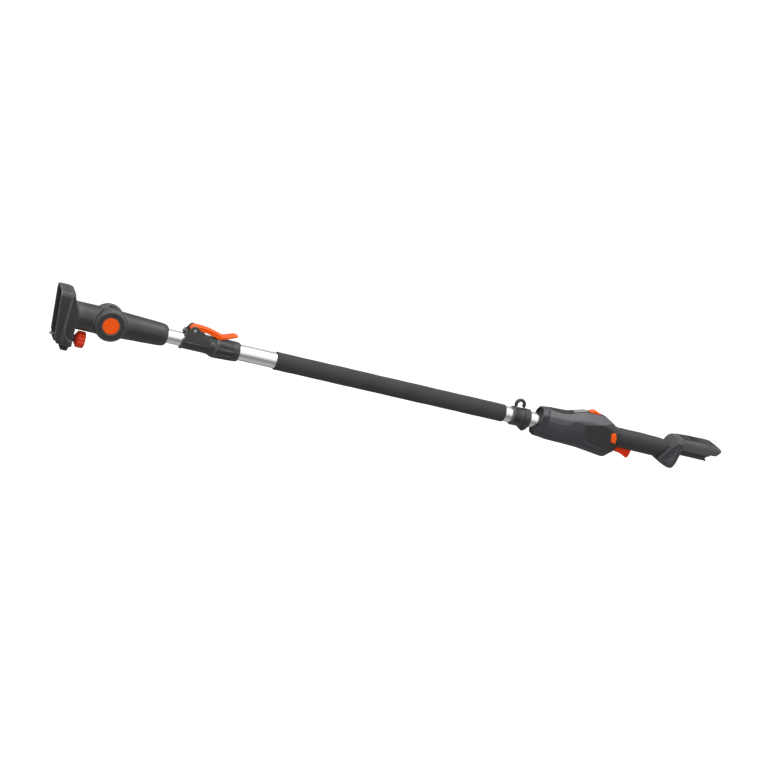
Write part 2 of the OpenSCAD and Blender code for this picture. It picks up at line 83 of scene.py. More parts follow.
lens = bpy.data.cameras.new("studio_camera")
lens.lens, lens.sensor_width = 94.4, 36
camera = bpy.data.objects.new("studio_camera", lens)
camera.location = aim + back * camera_distance
camera.rotation_mode = "QUATERNION"
camera.rotation_quaternion = back.to_track_quat("Z", "Y") @ Quaternion((0, 0, 1), camera_roll)
bpy.context.scene.collection.objects.link(camera)
bpy.context.scene.camera = camera


def put(tree, kind, values=(), **settings):
    """Adds a node. Its sockets, by name or number, each get a number, a colour or another's output."""
    node = tree.nodes.new(kind)
    for name, value in settings.items():
        setattr(node, name, value)
    for name, value in dict(values).items():
        socket = node.inputs[name]
        if isinstance(value, bpy.types.NodeSocket):
            tree.links.new(value, socket)
        else:
            socket.default_value = value
    return node


def ramp(tree, factor, stops):
    """A colour ramp of (place, grey or colour) stops."""
    node = put(tree, "ShaderNodeValToRGB", {0: factor})
    for place, tone in stops[2:]:
        node.color_ramp.elements.new(place)
    for element, (place, tone) in zip(node.color_ramp.elements, sorted(stops)):
        element.position = place
        element.color = (*tone, 1) if isinstance(tone, tuple) else (tone, tone, tone, 1)
    return node.outputs["Color"]


def ranged(tree, value, low, high, to_low=0.0, to_high=1.0):
    """A value with one range mapped to another."""
    limits = {"Value": value, "From Min": low, "From Max": high, "To Min": to_low, "To Max": to_high}
    return put(tree, "ShaderNodeMapRange", limits).outputs[0]


def scaled(tree, colour, by):
    """A colour made lighter or darker."""
    return put(tree, "ShaderNodeVectorMath", {0: colour, "Scale": by}, operation="SCALE").outputs[0]


def blank(name):
    """A new material with its node tree and its shader."""
    coat = bpy.data.materials.new(name)
    coat.use_nodes = True
    return coat, coat.node_tree, coat.node_tree.nodes["Principled BSDF"]


room = bpy.data.worlds.new("studio_room")
bpy.context.scene.world = room
room.use_nodes = True
sky = room.node_tree
sky.nodes.clear()
heading = put(sky, "ShaderNodeSeparateXYZ", {0: put(sky, "ShaderNodeTexCoord").outputs["Generated"]})
height = ranged(sky, heading.outputs["Z"], -1.0, 1.0)
room_tones = [(0.0, 0.46), (0.14, 0.32), (0.28, 0.2), (0.45, 0.3), (0.58, 0.75), (0.72, 1.0), (1.0, 0.9)]
behind = ranged(sky, heading.outputs["Y"], 0.1, 0.65, 1.0, 0.5)
toned = scaled(sky, ramp(sky, height, room_tones), behind)
glow = put(sky, "ShaderNodeBackground", {"Color": toned, "Strength": 1.15})
backdrop = put(sky, "ShaderNodeBackground", {"Color": (1, 1, 1, 1), "Strength": 1.0})
seen = put(sky, "ShaderNodeLightPath").outputs["Is Camera Ray"]
shown = put(sky, "ShaderNodeMixShader", {0: seen, 1: glow.outputs[0], 2: backdrop.outputs[0]})
put(sky, "ShaderNodeOutputWorld", {"Surface": shown.outputs[0]})


def soft_box(name, place, size, power):
    """A large square lamp that faces the pole's middle."""
    lamp = bpy.data.lights.new(name, "AREA")
    lamp.shape, lamp.size, lamp.energy = "SQUARE", size, power
    holder = bpy.data.objects.new(name, lamp)
    holder.location = aim + Vector(place)
    holder.rotation_mode = "QUATERNION"
    holder.rotation_quaternion = Vector(place).to_track_quat("Z", "Y")
    bpy.context.scene.collection.objects.link(holder)


soft_box("box_overhead", (0.1, -0.5, 2.6), 2.2, 34)
soft_box("box_front", (-1.2, -2.6, 1.5), 1.4, 12)

sheet_drop, sheet_reach = 0.6, 40.0
sheet_mesh = bmesh.new()
bmesh.ops.create_grid(sheet_mesh, x_segments=8, y_segments=8, size=sheet_reach)
sheet_data = bpy.data.meshes.new("studio_sheet")
sheet_mesh.to_mesh(sheet_data)
sheet_mesh.free()
pale_paper, _, paper = blank("pale_paper")
paper.inputs["Base Color"].default_value = (0.93, 0.93, 0.93, 1)
paper.inputs["Roughness"].default_value = 0.9
paper.inputs["Emission Color"].default_value = (1, 1, 1, 1)
paper.inputs["Emission Strength"].default_value = 0.25
sheet_data.materials.append(pale_paper)
studio_sheet = bpy.data.objects.new("studio_sheet", sheet_data)
studio_sheet.location = (aim.x, 0, cad_box[0].z - sheet_drop)
studio_sheet.visible_glossy = studio_sheet.visible_diffuse = False
bpy.context.scene.collection.objects.link(studio_sheet)


# ---- Tool socket frame ----
# A deep box-like moulding of matt glass-filled nylon, open at the front, that takes the back of the saw head.
# Its mouth leans back a little, its rim is rounded, and shallow ribs line the walls inside.
socket_lo, socket_hi = (corner * 1000 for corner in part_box("head_frame"))
mouth_lean = tan(radians(4.4))
socket_wall, socket_floor = 4.5, 17.5
socket_corner = 14.0
# The nylon's edge colour is a much lighter grey: partly rubbed wear and partly a painted highlight.
nylon_colour, nylon_worn_edge_highlight = (0.0255, 0.0255, 0.0260), (0.16, 0.16, 0.163)


def build(name, shape, coat, body, slot, *nodes, crease=35):
    """Turns a mesh drawn in millimetres into a piece in metres, in its finish, that rides on a body."""
    bmesh.ops.remove_doubles(shape, verts=shape.verts, dist=0.0005)
    bmesh.ops.recalc_face_normals(shape, faces=shape.faces)
    shape.transform(Matrix.Scale(0.001, 4))
    mesh = bpy.data.meshes.new(name)
    shape.to_mesh(mesh)
    shape.free()
    mesh.shade_smooth()
    mesh.set_sharp_from_angle(angle=radians(crease))
    mesh.materials.append(coat)
    piece = bpy.data.objects.new(name, mesh)
    bpy.context.scene.collection.objects.link(piece)
    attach(piece, body)
    if nodes:
        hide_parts(*nodes)
    return piece


def lofted(rings, joined=False):
    """A skin over closed rings of points. Its two ends are filled, or joined to each other."""
    shape = bmesh.new()
    rows = [[shape.verts.new(point) for point in ring] for ring in rings]
    following = rows[1:] + rows[:1] if joined else rows[1:]
    for near, far in zip(rows, following):
        for i in range(len(near)):
            j = (i + 1) % len(near)
            shape.faces.new((near[i], near[j], far[j], far[i]))
    if not joined:
        shape.faces.new(reversed(rows[0]))
        shape.faces.new(rows[-1])
    return shape


def pad_ring(x, half, low, high, corner, steps=8):
    """An upright rectangle with round corners, across the pole. x is a number, or a function of z."""
    ring = []
    for k, (y, z) in enumerate([(half, high), (-half, high), (-half, low), (half, low)]):
        cy, cz = y - corner * (1 if y > 0 else -1), z - corner * (1 if z > (low + high) / 2 else -1)
        for i in range(steps + 1):
            a = pi / 2 * (k + i / steps)
            point_z = cz + corner * sin(a)
            ring.append(Vector((x(point_z) if callable(x) else x, cy + corner * cos(a), point_z)))
    return ring


def maths(tree, operation, *values):
    """The result of a Math node."""
    return put(tree, "ShaderNodeMath", enumerate(values), operation=operation).outputs[0]


def noise(tree, place, scale, detail, rough=0.5, bend=0.0):
    """The value of a noise texture."""
    texture = {"Vector": place, "Scale": scale, "Detail": detail, "Roughness": rough, "Distortion": bend}
    return put(tree, "ShaderNodeTexNoise", texture).outputs[0]


def new_group(name, numbers, results):
    """A shader node group: its tree, the object's own coordinates, its number inputs and its outputs."""
    group = bpy.data.node_groups.new(name, "ShaderNodeTree")
    for label, default in numbers:
        socket = group.interface.new_socket(label, in_out="INPUT", socket_type="NodeSocketFloat")
        socket.default_value = default
    for label, kind in results:
        group.interface.new_socket(label, in_out="OUTPUT", socket_type=kind)
    given, made = group.nodes.new("NodeGroupInput").outputs, group.nodes.new("NodeGroupOutput").inputs
    return group, put(group, "ShaderNodeTexCoord").outputs["Object"], given, made


# Spark-eroded grain of a mould: fine pits for the bump, and broad mottling from the flow of the melt.
mould_grain, place, given, made = new_group(
    "mould_grain", [("Grains per metre", 2600.0), ("Mottle", 0.12)],
    [("Height", "NodeSocketFloat"), ("Shade", "NodeSocketFloat")])
pits = noise(mould_grain, place, given["Grains per metre"], 3.0)
flow = maths(mould_grain, "SUBTRACT", noise(mould_grain, place, 38.0, 5.0, 0.6), 0.5)
spread = maths(mould_grain, "MULTIPLY_ADD", flow, given["Mottle"], 1.0)
speck = ranged(mould_grain, pits, 0.0, 1.0, 0.95, 1.05)
mould_grain.links.new(pits, made["Height"])
mould_grain.links.new(maths(mould_grain, "MULTIPLY", spread, speck), made["Shade"])

# Edges lightened in a broken line along every convex corner: partly wear where hands and tools rub,
# partly a painted highlight where the rounded edges catch the light.
flat_level = 0.51
edge_wear_and_highlight, place, given, made = new_group("edge_wear_and_highlight", [("Reach", 0.06)], [("Mask", "NodeSocketFloat")])
pointed = put(edge_wear_and_highlight, "ShaderNodeNewGeometry").outputs["Pointiness"]
corner_mask = ranged(edge_wear_and_highlight, pointed, flat_level, maths(edge_wear_and_highlight, "ADD", given["Reach"], flat_level))
patches = ranged(edge_wear_and_highlight, noise(edge_wear_and_highlight, place, 160.0, 4.0), 0.3, 0.6, 0.35)
edge_wear_and_highlight.links.new(maths(edge_wear_and_highlight, "MULTIPLY", corner_mask, patches), made["Mask"])

# Faint palm marks and settled dust, which change only how rough the surface is.
hand_marks, place, given, made = new_group(
    "hand_marks", [("Least", 0.45), ("Most", 0.6)], [("Roughness", "NodeSocketFloat")])
smear = noise(hand_marks, place, 24.0, 7.0, bend=0.6)
hand_marks.links.new(ranged(hand_marks, smear, 0.35, 0.68, given["Least"], given["Most"]),
                     made["Roughness"])


def dress(tree, surface, base, rough, height, strength, depth):
    """Gives a shader its colour, its palm-marked roughness and its bump."""
    hands = put(tree, "ShaderNodeGroup", {"Least": rough[0], "Most": rough[1]}, node_tree=hand_marks)
    bump = put(tree, "ShaderNodeBump", {"Height": height, "Strength": strength, "Distance": depth})
    tree.links.new(base, surface.inputs["Base Color"])
    tree.links.new(hands.outputs[0], surface.inputs["Roughness"])
    tree.links.new(bump.outputs["Normal"], surface.inputs["Normal"])


def moulded(name, colour, edge, rough=(0.45, 0.6), grains=2600.0, depth=0.00004, mottle=0.12, reach=0.06,
            **shader):
    """A moulded plastic: mottled body colour, lighter edges of rubbed wear and painted highlight,
    grain in the bump and palm marks in the gloss.
    """
    coat, tree, surface = blank(name)
    grain = put(tree, "ShaderNodeGroup", {"Grains per metre": grains, "Mottle": mottle},
                node_tree=mould_grain)
    worn_highlit_edges = put(tree, "ShaderNodeGroup", {"Reach": reach}, node_tree=edge_wear_and_highlight)
    shaded = scaled(tree, colour, grain.outputs["Shade"])
    # The edge colour mixed in along convex corners is partly rubbed wear and partly a painted highlight.
    blend = {0: worn_highlit_edges.outputs["Mask"], 6: shaded, 7: (*edge, 1)}
    base = put(tree, "ShaderNodeMix", blend, data_type="RGBA").outputs[2]
    dress(tree, surface, base, rough, grain.outputs["Height"], 0.7, depth)
    for label, value in shader.items():
        surface.inputs[label.replace("_", " ")].default_value = value
    return coat


nylon = moulded("matt_nylon", nylon_colour, nylon_worn_edge_highlight, rough=(0.34, 0.46), depth=0.00003, reach=0.12,
                Specular_IOR_Level=0.55)
dark_nylon = moulded("black_nylon", (0.012, 0.012, 0.0125), (0.05, 0.05, 0.05), rough=(0.5, 0.65))


def at_mouth(step):
    """The x of a point step millimetres behind the leaning mouth, which is cut back below the bolt."""
    return lambda z: step - z * mouth_lean + 0.03 * max(0, -37 - z) ** 2


half, low, high = socket_hi.y, socket_lo.z, socket_hi.z
rim = [(5.0, 0), (2.0, 0), (0.9, 0), (0.25, 0.4), (0.0, 1.1), (0.0, 3.2), (0.3, 4.1), (1.2, socket_wall)]
outside = [pad_ring(x, half - d, low + d, high - d, socket_corner - d, 10)
           for x, d in [(socket_hi.x, 2.2), (20.7, 1.9), (19.0, 0.3), (18.0, 0), (16.8, 0), (13.0, 0)]]
lip = [pad_ring(at_mouth(x), half - d, low + d, high - d, socket_corner - d, 10) for x, d in rim]
inside = pad_ring(socket_floor, half - socket_wall, low + socket_wall, high - socket_wall,
                  socket_corner - socket_wall, 10)
# The frame and the cheeks get a stronger lightening of their edges: partly rubbed wear, partly painted
# highlight.
highlight_edged_nylon = moulded("highlight_edged_nylon", nylon_colour, nylon_worn_edge_highlight, rough=(0.34, 0.46), depth=0.00003,
                      reach=0.05, Specular_IOR_Level=0.55)
build("socket_frame", lofted(outside + lip + [inside]), highlight_edged_nylon, "head", "dark_plastic", "head_frame")


def ribbed_ring(x, inset, pitch=3.4, rib=0.9):
    """The lining's face at x: ribs stand on it all round, pitch apart."""
    smooth = pad_ring(x, half - inset, low + inset, high - inset, socket_corner - inset, 10)
    ring, run = [], 0.0
    for here, there in zip(smooth, smooth[1:] + smooth[:1]):
        side = there - here
        pieces = max(1, round(side.length / (pitch / 4)))
        outward = Vector((0, -side.z, side.y)).normalized() if side.length > 0.001 else Vector()
        for i in range(pieces):
            run += side.length / pieces
            ring.append(here.lerp(there, i / pieces) + outward * (rib if int(run / pitch * 2) % 2 else 0))
    return ring


liner_in = socket_wall + 1.6
back_ring = [Vector((socket_floor - 0.1, p.y, p.z)) for p in ribbed_ring(0, liner_in)]
front_ring = [Vector((2.6 - p.z * mouth_lean, p.y, p.z)) for p in back_ring]
shell_ring = [Vector((p.x, p.y * 1.045, p.z * 1.03)) for p in front_ring]
shell_back = [Vector((socket_floor - 0.1, p.y, p.z)) for p in shell_ring]
build("socket_liner", lofted([shell_back, shell_ring, front_ring, back_ring], joined=True), dark_nylon,
      "head", "black_plastic", crease=20)


def round_off(shape, corners, width, segments, clamp=True):
    """Rounds some edges of a shape, and splits the many-sided faces that are left."""
    bmesh.ops.bevel(shape, geom=corners, offset=width, segments=segments, profile=0.5, affect="EDGES",
                    clamp_overlap=clamp)
    bmesh.ops.triangulate(shape, faces=[f for f in shape.faces if len(f.verts) > 4])


def eased(node, name, coat, body, slot, width=0.4, segments=2, sharp=38):
    """A copy of a part's exact form with its sharp edges rounded, as they leave the mould or the tumbler."""
    shape = bmesh.new()
    shape.from_mesh(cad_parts[node].data)
    shape.transform(Matrix.Scale(1000, 4))
    bmesh.ops.remove_doubles(shape, verts=shape.verts, dist=0.002)
    bmesh.ops.dissolve_limit(shape, angle_limit=radians(0.6), verts=shape.verts, edges=shape.edges)
    corners = [e for e in shape.edges if len(e.link_faces) == 2 and e.calc_face_angle(0) > radians(sharp)]
    round_off(shape, corners, width, segments)
    return build(name, shape, coat, body, slot, node)


eased("socket_foot", "socket_toe", dark_nylon, "head", "black_plastic", width=1.2, segments=3)
eased("contact_block", "contact_carrier", dark_nylon, "head", "black_plastic", width=0.3)


# ---- Pod and neck ----
# The pod closes the back of the socket and the neck grows out of it as one nylon moulding, bolted on from
# inside. A chin, flush with the frame, wraps the thumb screw, and the neck ends in a saddle at the elbow.
axle_x, cheek_radius = 106.0, 31.8
neck_radius = 27.2
pod_top = [(socket_hi.x, 49.2), (23.2, 48.8), (24.8, 47.6), (26.2, 45.2), (27.2, 42), (29.2, 36),
           (32.4, 29.4), (36.6, 21.8)]


def pod_end(inset):
    """The pod's back face, which leans rearwards below the neck."""
    return lambda z: 40.4 - inset + 1.0 * min(1, max(0, (-30 - z) / 26))


pod_rings = [pad_ring(x, 33, -58, top, 10, 8) for x, top in pod_top]
pod_rings += [pad_ring(lambda z, i=i: min(pod_end(i)(z), 60), 33 - d, -58 + d, t, 10 - d, 8)
              for i, d, t in [(1.6, 0.1, 17.6), (0.6, 0.6, 14.8), (0.0, 1.6, 12.4)]]
build("socket_pod", lofted(pod_rings), nylon, "head", "dark_plastic", "head_back")

chin_top = [(20.2, -27), (22.2, -31.5), (25.3, -36.7), (28.4, -40.2), (32.5, -43), (36.5, -44.3),
            (40.2, -44.6)]
chin_rings = [pad_ring(x, half - 0.25, low + 0.3, top, 5.5, 8) for x, top in chin_top]
chin_rings.append(pad_ring(lambda z: 41.4, half - 1.0, low + 1.4, -45.4, 4.6, 8))
build("socket_chin", lofted(chin_rings), nylon, "head", "dark_plastic")

# A raised bead of light grey nylon, a painted highlight line, marks where the frame's rear edge runs down
# into the chin, on both sides.
bead_line = [(20.6, z) for z in (36, 24, 12, 0, -12, -21)] + [(20.9, -26)] + chin_top[1:]
painted_highlight_nylon = moulded("painted_highlight_nylon", (0.13, 0.13, 0.132), (0.2, 0.2, 0.2), rough=(0.3, 0.42),
                       depth=0.00002)
both_sides = ((-1, "near", "left"), (1, "far", "right"))


def round_angles(steps):
    """Evenly spaced angles round a full turn."""
    return [2 * pi * i / steps for i in range(steps)]


for side, end, _ in both_sides:
    bead = [[Vector((x + 0.55 * cos(a), side * (half - 0.5 + 0.5 * sin(a)), z + 0.2 * cos(a)))
             for a in round_angles(10)] for x, z in bead_line]
    build(f"socket_bead_{end}", lofted(bead), painted_highlight_nylon, "head", "dark_plastic", crease=70)


def round_ring(x, radius, steps=96):
    """A circle round the pole's axis. x is a number, or a function of the point's height."""
    return [Vector((x(radius * sin(a)) if callable(x) else x, radius * cos(a), radius * sin(a)))
            for a in round_angles(steps)]


def saddle(gap, side=-1):
    """Where a tube meets the round elbow, gap millimetres clear of it, before (-1) or behind (1) the axle."""
    return lambda z: axle_x + side * sqrt(max(0, (cheek_radius + gap) ** 2 - z * z))


neck = [round_ring(x, r) for x, r in [(26, 20), (26, neck_radius), (46.6, neck_radius)]]
for share in (0.25, 0.5, 0.75):
    neck.append(round_ring(lambda z, s=share: 46.6 + (saddle(4.0)(z) - 46.6) * s, neck_radius))
neck += [round_ring(saddle(g), r) for g, r in [(4.0, 27.2), (3.2, 27.35), (2.9, 27.85), (1.4, 28.0),
                                               (0.8, 27.7), (0.6, 27.0), (0.6, 23.4), (5.0, 23.3)]]
neck.append(round_ring(52, 20))
build("neck_tube", lofted(neck), nylon, "head", "dark_plastic", "front_neck")


# ---- Thumb screw ----
# A steel bolt through the chin that locks the saw head in the socket, with a fluted knob of red nylon
# moulded on its end and a plain black washer under it.
thumb_z = -46.0
knob_red = moulded("knob_red", (0.78, 0.034, 0.005), (0.85, 0.1, 0.03), rough=(0.34, 0.46), depth=0.00002,
                   mottle=0.08, reach=0.12, Specular_IOR_Level=0.3)


def fluted_ring(x, radius, depth, flutes=10, steps=120):
    """A ring of the knob round the bolt, with round hollows cut into it."""
    ring = []
    for a in round_angles(steps):
        hollow = max(0.0, cos(flutes * a)) ** 1.6
        r = radius - depth * hollow
        ring.append(Vector((x, r * cos(a), thumb_z + r * sin(a))))
    return ring


knob = [fluted_ring(x, r, d) for x, r, d in [(49.2, 3.2, 0), (49.2, 10.4, 0), (49.8, 11, 0),
                                             (51.4, 11, 0), (51.9, 12.2, 0), (52.1, 14.6, 0.9),
                                             (52.9, 15.9, 1.7), (54.2, 16.5, 2.0), (65.4, 16.5, 2.0),
                                             (66.8, 16.1, 1.8), (67.9, 15.0, 1.2), (68.4, 13.6, 0.3),
                                             (68.4, 11.8, 0), (67.9, 11.2, 0), (67.2, 10.6, 0),
                                             (67.0, 3.2, 0)]]
build("thumb_knob_grip", lofted(knob, joined=True), knob_red, "thumb_screw", "red_plastic", "thumb_knob",
      crease=50)
eased("thumb_washer", "knob_washer", dark_nylon, "thumb_carrier", "black_plastic", width=0.6)


# ---- Elbow ----
# Two round cheeks of nylon on the head's shank hold the boot's tongue on a steel axle. A sprung orange
# button in the near cheek frees the toothed plate, so the saw can be set at an angle.
near_in, far_in = -6.0, 16.0
button_radius = 16.6
lever_orange = moulded("lever_orange", (0.95, 0.1, 0.004), (1.0, 0.22, 0.03), rough=(0.3, 0.42),
                       depth=0.000015, mottle=0.05, reach=0.12, Specular_IOR_Level=0.22)


def turned_on_axle(profile, steps=128, start=0.0, sweep=360.0):
    """A profile of (y, radius) points, turned round the elbow's axle. A part turn is filled at its ends."""
    whole = sweep >= 360
    count = steps if whole else steps + 1
    rings = []
    for i in range(count):
        a = radians(start + sweep * i / steps)
        rings.append([Vector((axle_x + r * cos(a), y, r * sin(a))) for y, r in profile])
    return lofted(rings, joined=whole)


def cheek(side, inner, bore, pocket):
    """A cheek, from its bore out round the rounded rim and back to its inner face."""
    profile = [(pocket, bore), (31.5, bore), (32.0, bore + 0.5), (32.0, bore + 1.3), (32.0, 25.6),
               (32.0, 26.4), (31.7, 27.3), (29.6, 30.4), (28.4, 31.4), (26.8, cheek_radius),
               (25.4, cheek_radius), (inner + 2.6, cheek_radius), (inner + 1.2, cheek_radius),
               (inner + 0.4, 31.5), (inner, 30.8), (inner, bore)]
    return turned_on_axle([(side * y, r) for y, r in profile])


build("near_cheek", cheek(-1, -near_in, 17.0, 26.4), highlight_edged_nylon, "head", "dark_plastic", "knuckle_fork")
build("far_cheek", cheek(1, far_in, 14.1, 27.4), highlight_edged_nylon, "head", "dark_plastic")
web_start, web_sweep = 106.0, 148.0
web = [(near_in - 0.2, 30.4), (near_in - 0.2, 31.6), (near_in, 31.75), (far_in, 31.75),
       (far_in + 0.2, 31.6), (far_in + 0.2, 30.4)]
build("cheek_web", turned_on_axle(web, 60, web_start, web_sweep), nylon, "head", "dark_plastic")
build("fork_shank", lofted([round_ring(x, r) for x, r in [(52.2, 23.0), (60, 23.0)]] + [
    round_ring(saddle(-1.5), 23.0), round_ring(saddle(-1.6), 5.0)]), dark_nylon, "head", "dark_plastic")

button = [(-27.0, 9), (-27.0, button_radius - 0.3), (-29.6, button_radius), (-30.4, button_radius - 0.25),
          (-31.0, button_radius - 0.9), (-31.25, 14.6), (-31.1, 12.0), (-30.95, 6.0), (-30.92, 0.0),
          (-27.2, 0.0)]
build("release_button", turned_on_axle(button), lever_orange, "elbow_release", "orange_plastic",
      "elbow_button", crease=45)
well = [(-27.6, 16.9), (-27.6, 14.0), (-26.6, 14.0), (-26.6, 17.2)]
build("button_well", turned_on_axle(well), dark_nylon, "head", "black_plastic")
eased("far_cap", "axle_cap", nylon, "head", "dark_plastic", width=0.8, segments=3)


# ---- Boot ----
# The tapering sleeve behind the elbow. It is screwed to the inner tube from below, has the tongue that
# turns between the cheeks at its front, and a rounded mouth where the tube leaves it.
tongue_near, tongue_far = near_in + 0.4, far_in - 0.4
tube_radius, tube_start = 14.0, 165.0
boot_form = [(150, 25.3), (170, 24.45), (190, 23.6), (203, 22.95), (211, 22.3), (215.6, 21.4),
             (218.8, 19.9), (221, 17.6), (221.8, 16.0), (222, 15.2), (221.6, 14.55), (219, 14.3),
             (212, 14.3)]
boot = [round_ring(130, 6), round_ring(saddle(6, 1), 22.0), round_ring(saddle(0.6, 1), 22.6),
        round_ring(saddle(0.5, 1), 25.8), round_ring(saddle(0.7, 1), 26.2),
        round_ring(saddle(1.2, 1), 26.4)]
boot += [round_ring(lambda z, s=s: saddle(1.2, 1)(z) * (1 - s) + 150 * s, 26.4 - 1.1 * s)
         for s in (0.35, 0.7)]
boot += [round_ring(x, r) for x, r in boot_form]
build("boot_sleeve", lofted(boot), nylon, "inner_pole", "dark_plastic", "boot")
tongue = [(tongue_near, 6.1), (tongue_near, 28.4), (tongue_near + 0.8, 29.2), (tongue_far - 0.8, 29.2),
          (tongue_far, 28.4), (tongue_far, 6.1)]
# The tongue and its root are a near-black, matt nylon: painted shade for the gap between the cheeks.
painted_shade_nylon = moulded("painted_shade_nylon", (0.003, 0.003, 0.003), (0.01, 0.01, 0.01), rough=(0.7, 0.8),
                       reach=4.0, Specular_IOR_Level=0.08)
build("boot_tongue", turned_on_axle(tongue), painted_shade_nylon, "inner_pole", "dark_plastic")
root_form = [(axle_x + 8, 18.5), (axle_x + 26, 19.0), (axle_x + 32, 19.8), (142, 20.2)]
root = [pad_ring(x, 1, -h, h, 0.9, 3) for x, h in root_form]
for ring in root:
    for point in ring:
        point.y = 5.0 + point.y * (tongue_far - 5.0 - 0.1)
build("tongue_root", lofted(root), painted_shade_nylon, "inner_pole", "dark_plastic")


# ---- Pole tubes ----
# Two drawn aluminium tubes, clear anodised. The inner one slides in the outer on a plastic bush, and its
# skin carries the fine lines of the drawing die along its length.
outer_radius = 16.0


def ends(node):
    """Where a part starts and ends along the pole, in millimetres."""
    return [corner.x * 1000 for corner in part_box(node)]


inner_end = ends("inner_tube")[1]
outer_start, outer_end = ends("outer_tube")

# Lines that a die leaves along the metal, with the odd deeper scratch.
drawn_lines, place, given, made = new_group(
    "drawn_lines", [("Lines", 900.0)], [("Height", "NodeSocketFloat"), ("Shade", "NodeSocketFloat")])
pulled = put(drawn_lines, "ShaderNodeMapping", {"Vector": place, "Scale": (0.01, 1, 1)}).outputs[0]
lines = noise(drawn_lines, pulled, given["Lines"], 4.0)
tint = ranged(drawn_lines, lines, 0.0, 1.0, 0.93, 1.05)
tone = ranged(drawn_lines, noise(drawn_lines, place, 9.0, 3.0), 0.0, 1.0, 0.96, 1.03)
drawn_lines.links.new(lines, made["Height"])
drawn_lines.links.new(maths(drawn_lines, "MULTIPLY", tint, tone), made["Shade"])


def metal(name, colour, rough, lines=900.0, depth=0.000012):
    """A bare or plated metal with drawing lines and palm marks."""
    coat, tree, surface = blank(name)
    surface.inputs["Metallic"].default_value = 1.0
    drawn = put(tree, "ShaderNodeGroup", {"Lines": lines}, node_tree=drawn_lines)
    base = scaled(tree, colour, drawn.outputs["Shade"])
    dress(tree, surface, base, rough, drawn.outputs["Height"], 0.5, depth)
    return coat


anodised = metal("clear_anodised", (0.86, 0.865, 0.875), (0.2, 0.3))
zinc = metal("zinc_plate", (0.62, 0.62, 0.63), (0.28, 0.42), lines=2400.0)


def tube(name, start, end, radius, wall, coat, body, slot, node):
    """An open tube with its cut ends deburred inside and out."""
    ease = 0.35
    profile = [(start + ease, radius), (end - ease, radius), (end, radius - ease),
               (end, radius - wall + ease), (end - ease, radius - wall), (start + ease, radius - wall),
               (start, radius - wall + ease), (start, radius - ease)]
    long_run = [profile[0]] + [(start + (end - start) * i / 12, radius) for i in range(1, 12)] + profile[1:]
    return build(name, lofted([round_ring(x, r, 128) for x, r in long_run], joined=True), coat, body,
                 slot, node)


tube("inner_pole_tube", tube_start, inner_end, tube_radius, 1.6, anodised, "inner_pole", "aluminium",
     "inner_tube")
tube("outer_pole_tube", outer_start, outer_end, outer_radius, 1.6, anodised, "handle", "aluminium",
     "outer_tube")


# ---- Foam sleeve ----
# A sleeve of black closed-cell foam, stretched over the outer tube. Its cut ends flare a little where they
# grip, and its skin is matt and finely pitted.
foam_start, foam_end = ends("foam_sleeve")
foam_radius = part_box("foam_sleeve")[1].y * 1000
foam_rings = [round_ring(foam_start + 1.2, outer_radius + 0.02, 96),
              round_ring(foam_start + 0.1, outer_radius + 0.9, 96)]
for step, r in [(0.0, -0.9), (0.25, -0.35), (0.9, 0.0), (2.2, 0.0), (4.5, -0.22), (8, -0.38), (14, -0.45)]:
    foam_rings.append(round_ring(foam_start + step, foam_radius + r, 96))
foam_length = foam_end - foam_start
foam_slices = 90
for i in range(1, foam_slices):
    x = foam_start + 14 + (foam_length - 28) * i / foam_slices
    sag = 0.12 * sin(x * 0.11) + 0.1 * sin(x * 0.043 + 1.3)
    foam_rings.append(round_ring(x, foam_radius - 0.42 + sag, 96))
for step, r in [(14, -0.45), (6, -0.42), (2.6, -0.5), (1.2, -0.9), (0.35, -1.6), (0.05, -2.2)]:
    foam_rings.append(round_ring(foam_end - step, foam_radius + r, 96))
foam_rings.append(round_ring(foam_end - 0.6, outer_radius + 0.02, 96))

foam, tree, surface = blank("closed_cell_foam")
surface.inputs["Roughness"].default_value = 0.82
surface.inputs["Specular IOR Level"].default_value = 0.35
surface.inputs["Sheen Weight"].default_value = 0.05
place = put(tree, "ShaderNodeTexCoord").outputs["Object"]
cells = put(tree, "ShaderNodeTexVoronoi", {"Vector": place, "Scale": 1150.0}).outputs["Distance"]
mixed = maths(tree, "MULTIPLY_ADD", noise(tree, place, 420.0, 6.0, 0.7), 0.6, cells)
cloud = maths(tree, "MULTIPLY", noise(tree, place, 26.0, 4.0), 0.4)
speckle = maths(tree, "MULTIPLY_ADD", mixed, 0.7, cloud)
foam_tones = [(0.25, (0.015, 0.015, 0.0155)), (0.62, (0.031, 0.031, 0.0315)), (0.95, (0.052, 0.052, 0.053))]
tree.links.new(ramp(tree, speckle, foam_tones), surface.inputs["Base Color"])
bump = put(tree, "ShaderNodeBump", {"Height": mixed, "Strength": 0.8, "Distance": 0.00014})
tree.links.new(bump.outputs["Normal"], surface.inputs["Normal"])
foam_grip = build("foam_hand_sleeve", lofted(foam_rings, joined=True), foam, "handle", "foam",
                  "foam_sleeve", crease=50)


# ---- Cam clamp ----
# A nylon housing on the end of the outer tube. Two round-topped ears carry the lever's pin, a steel band
# and bolt set the squeeze, and the part behind is a twelve-sided collar with a flat on top.
ear_inner, ear_outer = 13.0, 18.0
pivot_x, pivot_z = 270.3, 25.4
clamp_start, clamp_step, collar_start, collar_end = 251.0, 308.0, 318.0, 369.0
flat_top = 17.3


